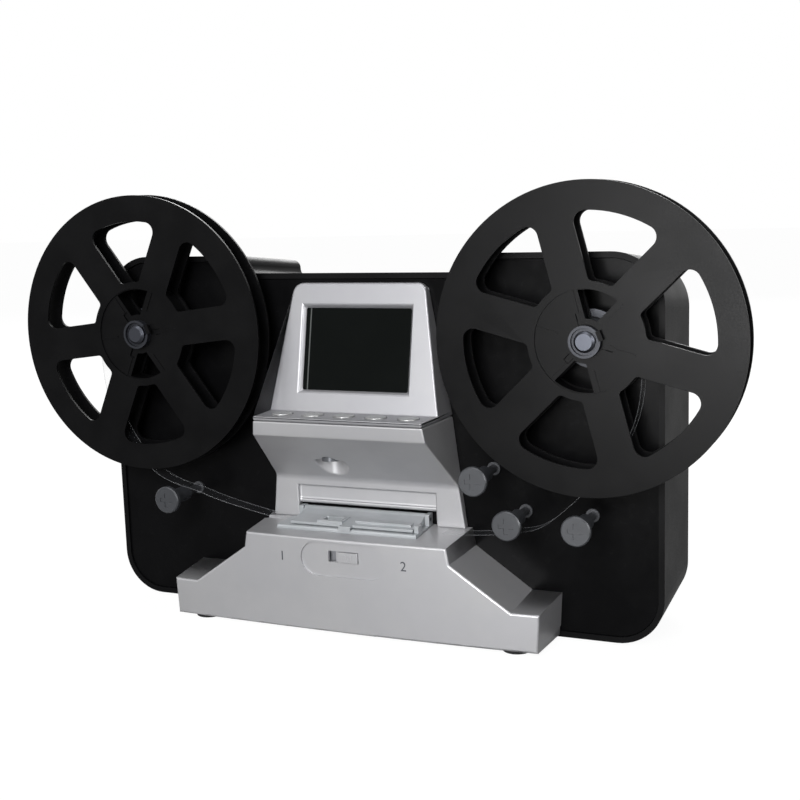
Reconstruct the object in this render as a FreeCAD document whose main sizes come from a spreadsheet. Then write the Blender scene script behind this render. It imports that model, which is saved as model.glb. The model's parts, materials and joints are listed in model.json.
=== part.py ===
import FreeCAD, Part

import os

import Sketcher

# Driving sizes in millimetres and degrees
# A reach is a distance in front of the rim plane of the body and a depth one behind it.
# Heights are above the table on which the scanner stands.
SIZES = {
    # Body
    "foot_height": (1.0, "Clearance between the body and the table"),
    "foot_radius": (6.0, "Radius of a rubber foot"),
    "foot_sink": (1.2, "Depth of the pocket that holds a foot"),
    "body_width": (266.4, "Width of the body"),
    "ear_height": (165.0, "Height of the raised ears"),
    "centre_height": (157.0, "Height of the body between its ears"),
    "ear_inner": (57.0, "Distance from the middle to the inner side of an ear"),
    "housing_depth": (55.0, "Depth of the body behind its rim"),
    "rear_drop": (5.0, "How far the top falls towards the rear"),
    "rear_rise": (3.0, "How far the bottom rises towards the rear"),
    "bottom_corner": (20.0, "Corner radius of the body at the bottom"),
    "top_corner": (22.0, "Outer corner radius of the ears"),
    "ear_round": (3.8, "Radius of the step from an ear to the centre"),
    "rear_round": (3.6, "Radius round the rear face"),
    "housing_wall": (2.5, "Wall of the rear housing"),
    "panel_gap": (0.2, "Gap between the panel and the housing"),
    "panel_recess": (1.0, "Depth of the panel behind the rim"),
    "panel_thickness": (3.0, "Thickness of the front panel"),
    "post_radius": (4.0, "Radius of a screw post"),
    "post_low_x": (112.0, "Sideways place of the low screw posts"),
    "post_low": (26.0, "Height of the low screw posts"),
    "post_high_x": (118.0, "Sideways place of the high screw posts"),
    "post_high": (151.0, "Height of the high screw posts"),
    "post_centre_x": (44.0, "Sideways place of the centre screw posts"),
    "post_centre": (143.0, "Height of the centre screw posts"),
    "boss_length": (8.0, "Length of the screw bosses behind the panel"),
    "screw_seat": (4.0, "Thickness of the seat under a screw head"),
    "screw_radius": (1.5, "Radius of a housing screw"),
    "screw_head": (2.8, "Radius of a screw head"),
    "screw_head_depth": (2.0, "Length of a screw head"),
    "screw_grip": (6.0, "Length of a screw inside its boss"),
    "hole_gap": (0.2, "Clearance round screws and heads"),
    "end_gap": (0.3, "End clearance of turning pieces"),
    "front_foot_x": (75.0, "Sideways place of the front feet"),
    "front_foot_reach": (18.0, "Reach of the front feet"),
    "rear_foot_x": (110.0, "Sideways place of the rear feet"),
    "rear_foot_depth": (45.0, "Depth of the rear feet behind the rim"),
    "port_width": (30.0, "Width of the wiring opening in the panel"),
    "port_bottom": (98.0, "Lower edge of the wiring opening"),
    "port_top": (128.0, "Upper edge of the wiring opening"),
    "base_floor": (2.0, "Height of the lower edge of the base cover"),
    # Base cover
    "base_half": (87.3, "Half width of the base cover"),
    "base_foot_half": (86.2, "Half width of the base cover at its lower edge"),
    "base_reach": (28.6, "Reach of the base cover in the middle"),
    "base_bow": (2.4, "Bow of the base front from middle to ends"),
    "wing_height": (18.4, "Height of the low wings of the base"),
    "wing_inner": (74.0, "Distance from the middle to the foot of the ramp"),
    "ramp_half": (48.7, "Half width of the base at the top of the ramp"),
    "ramp_drop": (7.9, "How far the top of the ramp lies below the film table"),
    "table_half": (47.3, "Half width of the film table at its front"),
    "table_height": (43.9, "Height of the film table at its front"),
    "base_draft": (4.0, "Draft of the base cover in degrees"),
    "cover_wall": (2.2, "Wall of the silver covers"),
    "edge_round": (1.0, "Radius on the edges of the silver covers"),
    "recess_half": (20.3, "Half length of the switch recess"),
    "recess_radius": (7.6, "Radius of the ends of the switch recess"),
    "recess_drop": (9.1, "How far the middle of the switch recess lies below the film table"),
    "recess_depth": (1.1, "Depth of the switch recess"),
    "slot_width": (14.4, "Length of the switch slot"),
    "slot_height": (5.0, "Height of the switch slot"),
    "knob_width": (9.4, "Length of the switch knob"),
    "knob_gap": (0.25, "Gap round the switch knob"),
    "knob_stand": (0.9, "How far the knob stands out of the recess"),
    "knob_flange": (1.0, "Thickness of the flange behind the knob"),
    "switch_depth": (4.4, "Depth of the switch body"),
    # Tower
    "shelf_reach": (31.1, "Reach of the button shelf"),
    "shelf_height": (97.0, "Height of the button shelf"),
    "shelf_plate": (1.8, "Thickness of the shelf plate"),
    "shelf_fall": (8.4, "Height of the shelf front"),
    "shelf_lean": (1.1, "How far the shelf front leans back"),
    "parting_gap": (0.3, "Gap of the parting line below the shelf plate"),
    "face_reach": (14.2, "Reach of the foot of the screen face"),
    "tower_rise": (55.8, "Height of the tower above its shelf"),
    "tower_top_reach": (2.4, "Reach of the top of the screen face"),
    "tower_top_half": (31.6, "Half width of the tower at its top"),
    "tower_shelf_half": (41.1, "Half width of the tower at the shelf"),
    "tower_band_half": (44.9, "Half width of the tower at the top of the band"),
    "tower_foot_half": (47.8, "Half width of the tower at its foot"),
    "tower_draft": (2.7, "Draft of the tower sides in degrees"),
    "tower_corner": (5.0, "Radius of the upper corners of the tower"),
    "band_rise": (21.3, "Height of the band over the film table"),
    "band_reach": (3.4, "Reach of the band over the film table"),
    "band_round": (5.0, "Radius between the band and the underside of the tower"),
    "mouth_half": (33.8, "Half width of the gate mouth in the band"),
    "mouth_rise": (16.9, "Height of the top of the gate mouth over the table"),
    "mouth_depth": (2.5, "Depth of the mouth in front of its rear wall"),
    "lip_rise": (9.5, "Height of the rolled lip over the table"),
    "lip_radius": (1.2, "Radius of the rolled lip"),
    "window_half": (26.6, "Half width of the bevelled screen frame"),
    "window_rise": (8.3, "Distance of the screen frame from the shelf"),
    "window_height": (38.1, "Height of the screen frame"),
    "window_bevel": (1.6, "Width of the bevel round the screen"),
    "glass_thickness": (1.2, "Thickness of the screen glass"),
    "glass_lap": (2.5, "How far the glass passes behind its frame"),
    "screen_thickness": (1.7, "Thickness of the screen module"),
    "button_radius": (4.5, "Radius of a button"),
    "button_gap": (0.3, "Gap round a button"),
    "button_pitch": (15.0, "Distance between buttons"),
    "button_reach": (21.6, "Reach of the row of buttons"),
    "button_stand": (0.4, "How far a button stands out of the shelf"),
    "button_dish": (0.35, "Depth of the dish in a button"),
    "button_flange": (0.8, "Radial width of the flange under a button"),
    "button_flange_height": (0.8, "Thickness of the flange under a button"),
    "button_stem": (1.3, "Radius of the button stem"),
    "button_travel": (0.7, "Travel of a button"),
    "board_thickness": (1.2, "Thickness of a circuit board"),
    "camera_middle": ((-11.3), "Sideways place of the camera axis"),
    "camera_port_radius": (7.4, "Radius of the camera port under the tower"),
    "camera_port_depth": (2.5, "Depth of the camera port over its middle"),
    "lens_radius": (4.2, "Radius of the camera lens barrel"),
    "lens_stand": (0.5, "How far the lens stands below the ceiling of its port"),
    "camera_drop": (10.0, "Distance of the camera board below the shelf"),
    # Film gate
    "bed_half": (33.2, "Reach of the film bed to each side inside the mouth"),
    "bed_front_left": (36.4, "Reach of the film bed to the left in front of the mouth"),
    "bed_front_right": (30.9, "Reach of the film bed to the right in front of the mouth"),
    "bed_reach": (19.5, "Reach of the film bed"),
    "bed_height": (2.4, "Height of the film bed over the front of the table"),
    "bed_seat": (0.3, "Height of the seat of the film bed over the front of the table"),
    "groove_start": (40.0, "Distance of the film groove of the table from the middle"),
    "groove_reach": (8.2, "Reach of the film groove of the table"),
    "groove_depth": (1.0, "Depth of the film groove of the table"),
    "film_gap": (0.3, "Gap between the bed and the closed gate"),
    "gate_left": (30.6, "Reach of the gate to the left"),
    "gate_right": (28.6, "Reach of the gate to the right"),
    "gate_reach": (17.6, "Reach of the front edge of the gate"),
    "gate_front": (1.2, "Thickness of the gate at its front"),
    "gate_rear": (4.8, "Thickness of the gate at its rear"),
    "gate_bend": (2.2, "Thickness of the gate at its bend"),
    "gate_bend_reach": (7.0, "Reach of the bend of the gate"),
    "gate_axis_reach": (2.0, "Reach of the gate hinge"),
    "gate_pin_radius": (0.8, "Radius of the gate hinge pin"),
    "pin_gap": (0.05, "Running clearance of pins and shafts"),
    "gate_tab_width": (5.6, "Width of the pull tab of the gate"),
    "gate_tab": (3.0, "Length of the pull tab of the gate"),
    "gate_tab_lip": (0.8, "How far the lip of the pull tab hangs down"),
    "gate_tab_middle": (-2.6, "Sideways place of the pull tab"),
    "ridge_height": (2.6, "Height of the ridge of the gate"),
    "ridge_half": (2.0, "Half width of the ridge of the gate"),
    "lug_thickness": (2.0, "Thickness of the hinge lugs"),
    "lug_gap": (0.3, "Gap between a lug and the gate"),
    "latch_length": (4.0, "Length of the latch beside the gate"),
    "latch_reach": (16.5, "Reach of the latch beside the gate"),
    "latch_height": (3.0, "Height of the latch over the film bed"),
    "aperture_width": (8.6, "Width of the light aperture"),
    "aperture_depth": (5.6, "Size of the light aperture from front to rear"),
    "aperture_frame": (1.8, "Width of the frame round the opening of the gate"),
    "frame_height": (2.4, "Height of the frame round the opening of the gate"),
    "diffuser_thickness": (1.0, "Thickness of the light window"),
    "claw_travel": (4.2, "Travel of the pulldown claw, one film frame"),
    "claw_half_width": (2.4, "Half width of the claw plate"),
    "claw_pin": (0.4, "Radius of the claw tip"),
    "claw_middle": (4.0, "Sideways place of the claw tip"),
    "sprocket_reach": (3.0, "Distance of the film holes from the film middle"),
    # Film, reels and rollers
    "film_width": (8.0, "Width of the film"),
    "film_reach": (12.8, "Reach of the middle of the film"),
    "reel_spacing": (210.8, "Distance between the reel axes"),
    "reel_height": (130.5, "Height of the reel axes"),
    "reel_radius": (63.2, "Radius of a reel"),
    "reel_width": (10.8, "Width of a reel over both flanges"),
    "flange_thickness": (1.2, "Thickness of a reel flange"),
    "spoke_count": (6, "Number of spokes"),
    "spoke_width": (15.2, "Width of a spoke"),
    "window_inner": (24.0, "Inner radius of the reel windows"),
    "window_outer": (51.4, "Outer radius of the reel windows"),
    "window_outer_round": (4.4, "Outer corner radius of the reel windows"),
    "window_inner_round": (2.0, "Inner corner radius of the reel windows"),
    "hub_recess_radius": (21.0, "Radius of the recess in the hub"),
    "hub_recess_depth": (0.6, "Depth of the recess in the hub"),
    "hub_line_width": (0.9, "Width of the raised lines on the hub"),
    "hub_line_height": (0.3, "Height of the raised lines on the hub"),
    "drum_radius": (22.6, "Outer radius of the film drum"),
    "drum_wall": (1.8, "Wall of the film drum"),
    "reel_bore": (6.6, "Radius of the reel bore"),
    "hub_wall": (2.2, "Wall of the hub tube"),
    "hub_rib": (2.2, "Thickness of the ribs in the hub"),
    "key_width": (2.6, "Width of the key slots"),
    "key_radius": (11.6, "Outer radius of the key slots"),
    "left_reel_turn": (37.0, "Turn of the left reel in degrees"),
    "right_reel_turn": (15.0, "Turn of the right reel in degrees"),
    "spindle_reach": (21.0, "Reach of the spindle tip"),
    "spindle_radius": (4.3, "Radius of the spindle tip"),
    "spindle_dome": (1.0, "Bevel of the spindle tip"),
    "shaft_radius": (3.0, "Radius of the spindle shaft"),
    "shaft_depth": (12.0, "Depth of the rear end of the shaft"),
    "collar_reach": (20.4, "Reach of the spindle collar"),
    "collar_gap": (0.1, "Clearance of the collar in the reel"),
    "collar_ring": (1.0, "Wall of the ring at the front of the collar"),
    "collar_recess": (1.5, "Depth of the recess in the front of the collar"),
    "shoulder_radius": (12.0, "Radius of the shoulder behind the reel"),
    "shoulder_thickness": (2.0, "Thickness of the shoulder"),
    "catch_width": (4.0, "Width of the reel catch"),
    "catch_length": (1.6, "Length of the reel catch along the spindle"),
    "catch_inner": (5.6, "Inner radius of the catch"),
    "catch_outer": (7.5, "Outer radius of the catch"),
    "catch_gap": (0.2, "Gap round the catch"),
    "catch_angle": (22.0, "Angle of the catch in degrees"),
    "bearing_radius": (5.5, "Radius of the spindle bearing"),
    "bearing_flange": (8.0, "Radius of the bearing flange"),
    "bearing_flange_height": (1.2, "Thickness of the bearing flange"),
    "gearbox_radius": (17.0, "Radius of a gear motor at its gearbox"),
    "gearbox_length": (12.0, "Length of the gearbox"),
    "motor_radius": (13.0, "Radius of a gear motor"),
    "motor_length": (20.0, "Length of a motor behind its gearbox"),
    "roller_reach": (27.2, "Reach of the guide rollers"),
    "roller_head_radius": (6.2, "Radius of a roller head"),
    "roller_head": (2.4, "Thickness of a roller head"),
    "roller_bevel": (0.5, "Bevel of a roller head"),
    "roller_radius": (3.4, "Radius of a roller"),
    "roller_rear_reach": (11.0, "Reach of the rear end of a roller"),
    "roller_post_radius": (1.8, "Radius of a roller post"),
    "post_collar": (1.0, "Length of the collars on a roller post"),
    "roller_cap": (3.6, "Distance from the roller face to the end of its bore"),
    "cross_size": (6.6, "Size of the cross on a roller head"),
    "cross_arm": (1.9, "Width of the arms of the cross"),
    "cross_depth": (0.35, "Depth of the cross"),
    "left_roller_x": (89.4, "Distance of the left roller from the middle"),
    "lower_roller_height": (55.3, "Height of the three low rollers"),
    "upper_roller_x": (59.8, "Distance of the high roller from the middle"),
    "upper_roller_height": (72.9, "Height of the high roller"),
    "middle_roller_x": (74.0, "Distance of the middle roller from the middle"),
    "right_roller_x": (103.1, "Distance of the right roller from the middle"),
    # Electronics
    "main_board_width": (110.0, "Width of the main board"),
    "main_board_bottom": (16.0, "Height of the lower edge of the main board"),
    "main_board_top": (76.0, "Height of the upper edge of the main board"),
    "standoff": (6.0, "Length of the standoffs of the main board"),
    "standoff_radius": (2.6, "Radius of a standoff"),
    "port_height": (26.0, "Height of the connectors on the rear"),
    "inlet_width": (8.0, "Width of the power inlet"),
    "inlet_height": (3.4, "Height of the power inlet"),
    "jack_radius": (1.9, "Radius of the television socket"),
    "card_width": (25.0, "Width of the card slot"),
    "card_height": (3.0, "Height of the card slot"),
    "inlet_x": (-42.0, "Sideways place of the power inlet"),
    "jack_x": (-22.0, "Sideways place of the television socket"),
    "card_x": (12.0, "Sideways place of the card slot"),
    "socket_wall": (1.0, "Wall of the connectors"),
    "claw_motor_radius": (9.0, "Radius of the claw motor"),
    "claw_motor_x": (16.0, "Sideways place of the claw motor"),
}

doc = FreeCAD.newDocument("film_scanner")
sheet = doc.addObject("Spreadsheet::Sheet", "Size")
for row, (alias, (number, note)) in enumerate(SIZES.items(), start=1):
    sheet.set(f"A{row}", note)
    sheet.set(f"B{row}", str(number))
    sheet.setAlias(f"B{row}", alias)
doc.recompute()

# Places worked out from the driving sizes
RIM = "(Size.shelf_reach - Size.housing_depth) / 2"
FILM = f"{RIM} - Size.film_reach"
HALF = "Size.body_width / 2"
FACE_SLOPE = "(Size.face_reach - Size.tower_top_reach) / Size.tower_rise"
FACE_LEAN = f"atan({FACE_SLOPE})"
TOWER_TOP = "(Size.shelf_height + Size.tower_rise)"
BAND = "(Size.table_height + Size.band_rise)"
RECESS = "(Size.table_height - Size.recess_drop)"
MOUTH_TOP = "(Size.table_height + Size.mouth_rise)"
LIP = "(Size.table_height + Size.lip_rise)"
BED_SEAT = "(Size.table_height + Size.bed_seat)"
BED_TOP = "(Size.table_height + Size.bed_height)"
UNDER_SLOPE = (
    f"(Size.shelf_height - Size.shelf_fall - {BAND})"
    " / (Size.shelf_reach - Size.shelf_lean - Size.band_reach)"
)
PORT_TOP = (
    f"({BAND} + (Size.film_reach - Size.band_reach) * {UNDER_SLOPE} + Size.camera_port_depth)"
)


def value(formula):
    """Gives the number that a formula has now."""
    result = sheet.evalExpression(formula)
    return float(getattr(result, "Value", result))


def new_body(label):
    """Adds an empty body with its own label."""
    body = doc.addObject("PartDesign::Body", "Body")
    body.Label = label
    return body


def sketch_on(body, role, along="0"):
    """Adds a sketch on an origin plane, moved by a formula along the plane's normal."""
    sketch = body.newObject("Sketcher::SketchObject", "Sketch")
    plane = next(item for item in body.Origin.OriginFeatures if item.Role == role)
    sketch.AttachmentSupport = (plane, "")
    sketch.MapMode = "FlatFace"
    sketch.setExpression("AttachmentOffset.Base.z", along)
    return sketch


def front_sketch(body, place):
    """Adds a sketch that faces the viewer: across is X, up is Z, at the given Y."""
    return sketch_on(body, "XZ_Plane", f"-({place})")


def side_sketch(body, place="0"):
    """Adds a sketch seen from the right: across is Y, up is Z, at the given X."""
    return sketch_on(body, "YZ_Plane", place)


def top_sketch(body, place="0"):
    """Adds a sketch seen from above: across is X, up is Y, at the given Z."""
    return sketch_on(body, "XY_Plane", place)


def fix_point(sketch, geometry, end, across, up):
    """Ties one point of a sketch to two formulas."""
    for kind, formula in (("DistanceX", across), ("DistanceY", up)):
        constraint = Sketcher.Constraint(kind, -1, 1, geometry, end, value(formula))
        index = sketch.addConstraint(constraint)
        sketch.setExpression(f"Constraints[{index}]", formula)


def polygon(sketch, corners):
    """Closes straight edges through corners given as pairs of formulas."""
    first = sketch.GeometryCount
    points = [FreeCAD.Vector(value(across), value(up), 0) for across, up in corners]
    count = len(points)
    for index, point in enumerate(points):
        sketch.addGeometry(Part.LineSegment(point, points[(index + 1) % count]), False)
    for index, (across, up) in enumerate(corners):
        following = first + (index + 1) % count
        sketch.addConstraint(Sketcher.Constraint("Coincident", first + index, 2, following, 1))
        fix_point(sketch, first + index, 1, across, up)


def rectangle(sketch, left, right, bottom, top):
    """Closes a rectangle between four formulas."""
    polygon(sketch, [(left, bottom), (right, bottom), (right, top), (left, top)])


def mirrored(corners):
    """Adds the mirror image of the right half of an outline, from its foot to its top."""
    return corners + [(f"-({across})", up) for across, up in reversed(corners)]


def circle(sketch, radius, across="0", up="0"):
    """Adds a circle with its centre and radius tied to formulas."""
    centre = FreeCAD.Vector(value(across), value(up), 0)
    shape = Part.Circle(centre, FreeCAD.Vector(0, 0, 1), value(radius))
    index = sketch.addGeometry(shape, False)
    fix_point(sketch, index, 3, across, up)
    constraint = sketch.addConstraint(Sketcher.Constraint("Radius", index, value(radius)))
    sketch.setExpression(f"Constraints[{constraint}]", radius)


def pad(body, sketch, length, reverse=False, both=False, draft=None):
    """Adds a straight extrusion along the sketch's normal."""
    feature = body.newObject("PartDesign::Pad", "Pad")
    feature.Profile = sketch
    feature.setExpression("Length", length)
    feature.Reversed = reverse
    feature.Midplane = both
    if draft:
        feature.setExpression("TaperAngle", draft)
    sketch.Visibility = False
    doc.recompute()
    return feature


def pocket(body, sketch, length=None, reverse=False, both=False, draft=None):
    """Cuts a straight hole against the sketch's normal, through everything by default."""
    before = body.Shape.Volume
    feature = body.newObject("PartDesign::Pocket", "Pocket")
    feature.Profile = sketch
    if length is None:
        feature.Type = "ThroughAll"
    else:
        feature.setExpression("Length", length)
    feature.Reversed = reverse
    feature.Midplane = both
    if draft:
        feature.setExpression("TaperAngle", draft)
    doc.recompute()
    if not body.Shape.Volume < before:
        raise ValueError(f"A pocket of {body.Label} cuts nothing")
    return feature


def revolve(body, sketch, kind="PartDesign::Revolution"):
    """Turns a profile about the sketch's upright axis."""
    feature = body.newObject(kind, "Revolution")
    feature.Profile = sketch
    feature.ReferenceAxis = (sketch, ["V_Axis"])
    feature.Angle = 360
    doc.recompute()
    return feature


def repeat_round(body, feature, count):
    """Repeats a feature round the body's Y axis."""
    pattern = body.newObject("PartDesign::PolarPattern", "PolarPattern")
    pattern.Originals = [feature]
    axis = next(item for item in body.Origin.OriginFeatures if item.Role == "Y_Axis")
    pattern.Axis = (axis, [""])
    pattern.Angle = 360
    pattern.setExpression("Occurrences", count)
    body.Tip = pattern
    doc.recompute()
    return pattern


STRAIGHT = 0.96
TOLERANCE = 0.01


def within(number, limits):
    """Tells whether a number lies between two limits."""
    return limits is None or limits[0] - TOLERANCE <= number <= limits[1] + TOLERANCE


def find_edges(body, axis=None, across=None, depth=None, height=None, ring=None):
    """Names the edges of a body's last shape that run along an axis and lie within limits."""
    names = []
    for index, edge in enumerate(body.Tip.Shape.Edges, start=1):
        if axis is not None:
            chord = edge.valueAt(edge.LastParameter) - edge.valueAt(edge.FirstParameter)
            if abs(chord.dot(axis)) < STRAIGHT * edge.Length:
                continue
        middle = edge.CenterOfMass
        radius = (middle.x**2 + middle.z**2) ** 0.5
        inside = within(middle.x, across) and within(middle.y, depth)
        if inside and within(middle.z, height) and within(radius, ring):
            names.append(f"Edge{index}")
    return names


def fillet(body, names, radius):
    """Rounds the named edges of a body's last shape."""
    base = body.Tip
    feature = body.newObject("PartDesign::Fillet", "Fillet")
    feature.Base = (base, names)
    feature.setExpression("Radius", radius)
    doc.recompute()
    body.Tip = feature
    return feature


def subtract(body, tools):
    """Takes other bodies away from a body."""
    feature = body.newObject("PartDesign::Boolean", "Boolean")
    feature.setObjects(tools)
    feature.Type = "Cut"
    doc.recompute()
    return feature


def place(body, across="0", depth="0", height="0", turn=None):
    """Ties the place of a body to formulas, and its turn as seen from the front."""
    if turn is not None:
        rotation = FreeCAD.Rotation(FreeCAD.Vector(0, -1, 0), value(turn))
        body.Placement = FreeCAD.Placement(FreeCAD.Vector(), rotation)
        body.setExpression("Placement.Rotation.Angle", turn)
    body.setExpression("Placement.Base.x", across)
    body.setExpression("Placement.Base.y", depth)
    body.setExpression("Placement.Base.z", height)


ALONG_X = FreeCAD.Vector(1, 0, 0)
ALONG_Y = FreeCAD.Vector(0, 1, 0)
ALONG_Z = FreeCAD.Vector(0, 0, 1)
PARTS = []


def keep(body):
    """Lists a finished sub-part for export."""
    PARTS.append(body)
    return body


def turned(label, corners, upright=False):
    """Makes a round piece from a half profile of radii and places along its axis."""
    body = new_body(label)
    sketch = front_sketch(body, "0") if upright else top_sketch(body)
    polygon(sketch, corners)
    revolve(body, sketch)
    return body


def rod(label, radius, start, end, upright=False):
    """Makes a round rod between two places along its axis."""
    return turned(label, [("0", start), (radius, start), (radius, end), ("0", end)], upright)


def block(label, left, right, front, rear, bottom, top):
    """Makes a straight block between six formulas."""
    body = new_body(label)
    sketch = top_sketch(body, bottom)
    rectangle(sketch, left, right, front, rear)
    pad(body, sketch, f"({top}) - ({bottom})")
    return body


def compound(label, bodies):
    """Groups separate solids of one kind under one label."""
    group = doc.addObject("Part::Compound", "Compound")
    group.Label = label
    group.Links = bodies
    doc.recompute()
    return keep(group)


def at_depth(depth):
    """Gives the Y of a depth behind the rim."""
    return f"{RIM} + {depth}"


def at_reach(reach):
    """Gives the Y of a reach in front of the rim."""
    return f"{RIM} - {reach}"


# Body
def level(height, fall, depth):
    """Gives a height that falls evenly over the depth of the body."""
    return f"{height} - ({fall}) * ({depth}) / Size.housing_depth"


def body_form(label, inset, front, rear):
    """Makes the form of the body between two depths, drawn inwards by an inset."""
    body = new_body(label)
    front_y = at_depth(front)
    rear_y = at_depth(rear)
    side = side_sketch(body)
    floor = f"Size.foot_height + {inset}"
    ear = f"Size.ear_height - {inset}"
    corners = [
        (front_y, level(floor, "-Size.rear_rise", front)),
        (rear_y, level(floor, "-Size.rear_rise", rear)),
        (rear_y, level(ear, "Size.rear_drop", rear)),
        (front_y, level(ear, "Size.rear_drop", front)),
    ]
    polygon(side, corners)
    pad(body, side, f"Size.body_width - 2 * ({inset})", both=True)
    valley = side_sketch(body)
    centre = f"Size.centre_height - {inset}"
    corners = [
        (front_y, level(centre, "Size.rear_drop", front)),
        (rear_y, level(centre, "Size.rear_drop", rear)),
        (rear_y, "Size.ear_height + Size.rear_drop"),
        (front_y, "Size.ear_height + Size.rear_drop"),
    ]
    polygon(valley, corners)
    pocket(body, valley, f"2 * (Size.ear_inner + {inset})", both=True)
    half = value(HALF)
    middle = (value("Size.post_low"), value("Size.centre_height - Size.rear_drop * 2"))
    outer_left = (-half, -value("Size.post_low_x"))
    outer_right = (value("Size.post_low_x"), half)
    for outer in (outer_left, outer_right):
        bottom = find_edges(body, ALONG_Y, outer, None, (0, middle[0]))
        fillet(body, bottom, f"Size.bottom_corner - {inset}")
        top = find_edges(body, ALONG_Y, outer, None, (middle[1], half * 2))
        fillet(body, top, f"Size.top_corner - {inset}")
    ears = (-value("Size.ear_inner * 1.2"), value("Size.ear_inner * 1.2"))
    fillet(body, find_edges(body, ALONG_Y, ears, None, (middle[1], half * 2)), "Size.ear_round")
    return body


POSTS = [
    ("Size.post_low_x", "Size.post_low"),
    ("Size.post_high_x", "Size.post_high"),
    ("Size.post_centre_x", "Size.post_centre"),
]
BOSS_END = "Size.panel_recess + Size.panel_thickness + Size.boss_length"
SEAT_END = f"{BOSS_END} + Size.screw_seat"
BOARD_REAR = "Size.housing_depth - Size.housing_wall - Size.standoff"
CONNECTORS = {
    "power_inlet": ("Size.inlet_x", "Size.inlet_width", "Size.inlet_height"),
    "tv_jack": ("Size.jack_x", "4 * Size.jack_radius", "4 * Size.jack_radius"),
    "card_slot": ("Size.card_x", "Size.card_width", "Size.card_height"),
}


def both_sides(places):
    """Gives the places on the right and their mirror images on the left."""
    return places + [(f"-{across}", up) for across, up in places]


def foot_top(depth):
    """Gives the height of the ceiling of a foot pocket at a depth behind the rim."""
    return level("Size.foot_height + Size.foot_sink", "-Size.rear_rise", depth)


def make_rear_housing():
    """Makes the hollow rear housing with screw posts, standoffs and connector openings."""
    housing = body_form("rear_housing", "0", "0", "Size.housing_depth")
    rear = value(at_depth("Size.housing_depth"))
    fillet(housing, find_edges(housing, None, None, (rear, rear)), "Size.rear_round")
    inner_rear = "Size.housing_depth - Size.housing_wall"
    hollow = body_form("housing_hollow", "Size.housing_wall", "0", inner_rear)
    subtract(housing, [hollow])
    posts = front_sketch(housing, at_depth(inner_rear))
    for across, up in both_sides(POSTS):
        circle(posts, "Size.post_radius", across, up)
    pad(housing, posts, f"{inner_rear} - ({BOSS_END})")
    standoffs = front_sketch(housing, at_depth(inner_rear))
    board_x = "Size.main_board_width / 2 - 2 * Size.standoff_radius"
    for up in ("Size.main_board_bottom + 2 * Size.standoff_radius",
               "Size.main_board_top - 2 * Size.standoff_radius"):
        for across in (board_x, f"-({board_x})"):
            circle(standoffs, "Size.standoff_radius", across, up)
    pad(housing, standoffs, "Size.standoff")
    wells = front_sketch(housing, at_depth(SEAT_END))
    for across, up in both_sides(POSTS):
        circle(wells, "Size.screw_head + Size.hole_gap", across, up)
    pocket(housing, wells, "Size.housing_depth")
    bores = front_sketch(housing, at_depth("0"))
    for across, up in both_sides(POSTS):
        circle(bores, "Size.screw_radius + Size.hole_gap", across, up)
    pocket(housing, bores)
    ports = front_sketch(housing, at_depth(inner_rear))
    for across, width, high in CONNECTORS.values():
        half_width = f"(({width}) / 2 + Size.end_gap)"
        half_high = f"(({high}) / 2 + Size.end_gap)"
        rectangle(
            ports,
            f"{across} - {half_width}",
            f"{across} + {half_width}",
            f"Size.port_height - {half_high}",
            f"Size.port_height + {half_high}",
        )
    pocket(housing, ports)
    feet = top_sketch(housing, foot_top("Size.rear_foot_depth"))
    for across in ("Size.rear_foot_x", "-Size.rear_foot_x"):
        circle(feet, "Size.foot_radius", across, at_depth("Size.rear_foot_depth"))
    pocket(housing, feet, "Size.foot_height + Size.housing_depth")
    return keep(housing)


def make_screws():
    """Makes the six screws that hold the rear housing to the panel."""
    screws = []
    for across, up in both_sides(POSTS):
        corners = [
            ("0", at_depth(f"{BOSS_END} - Size.screw_grip")),
            ("Size.screw_radius", at_depth(f"{BOSS_END} - Size.screw_grip")),
            ("Size.screw_radius", at_depth(SEAT_END)),
            ("Size.screw_head", at_depth(SEAT_END)),
            ("Size.screw_head", at_depth(f"{SEAT_END} + Size.screw_head_depth")),
            ("0", at_depth(f"{SEAT_END} + Size.screw_head_depth")),
        ]
        screw = turned("screw", corners)
        place(screw, across, "0", up)
        screws.append(screw)
    return compound("housing_screws", screws)


ROLLERS = {
    "left_guide_roller": ("-Size.left_roller_x", "Size.lower_roller_height"),
    "upper_guide_roller": ("Size.upper_roller_x", "Size.upper_roller_height"),
    "middle_guide_roller": ("Size.middle_roller_x", "Size.lower_roller_height"),
    "right_guide_roller": ("Size.right_roller_x", "Size.lower_roller_height"),
}
SPINDLE_X = "Size.reel_spacing / 2"
PANEL_INNER = "Size.panel_recess + Size.panel_thickness"


def make_front_panel():
    """Makes the glossy front panel with its screw bosses and openings."""
    inset = "(Size.housing_wall + Size.panel_gap)"
    panel = body_form("front_panel", inset, "Size.panel_recess", PANEL_INNER)
    bosses = front_sketch(panel, at_depth(PANEL_INNER))
    for across, up in both_sides(POSTS):
        circle(bosses, "Size.post_radius", across, up)
    for across, up in ROLLERS.values():
        circle(bosses, "Size.post_radius", across, up)
    pad(panel, bosses, "Size.boss_length", reverse=True)
    pilots = front_sketch(panel, at_depth(BOSS_END))
    for across, up in both_sides(POSTS):
        circle(pilots, "Size.screw_radius", across, up)
    pocket(panel, pilots, "Size.boss_length", reverse=True)
    holes = front_sketch(panel, at_depth("0"))
    for across, up in ROLLERS.values():
        circle(holes, "Size.roller_post_radius", across, up)
    for across in (SPINDLE_X, f"-{SPINDLE_X}"):
        circle(holes, "Size.bearing_radius", across, "Size.reel_height")
    half = "Size.port_width / 2"
    rectangle(holes, f"-{half}", half, "Size.port_bottom", "Size.port_top")
    pocket(panel, holes)
    return keep(panel)


# Base cover
BASE_FRONT = "Size.base_reach"
BASE_SPREAD = "(Size.base_reach + Size.panel_recess) * tan(Size.base_draft)"


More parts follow.
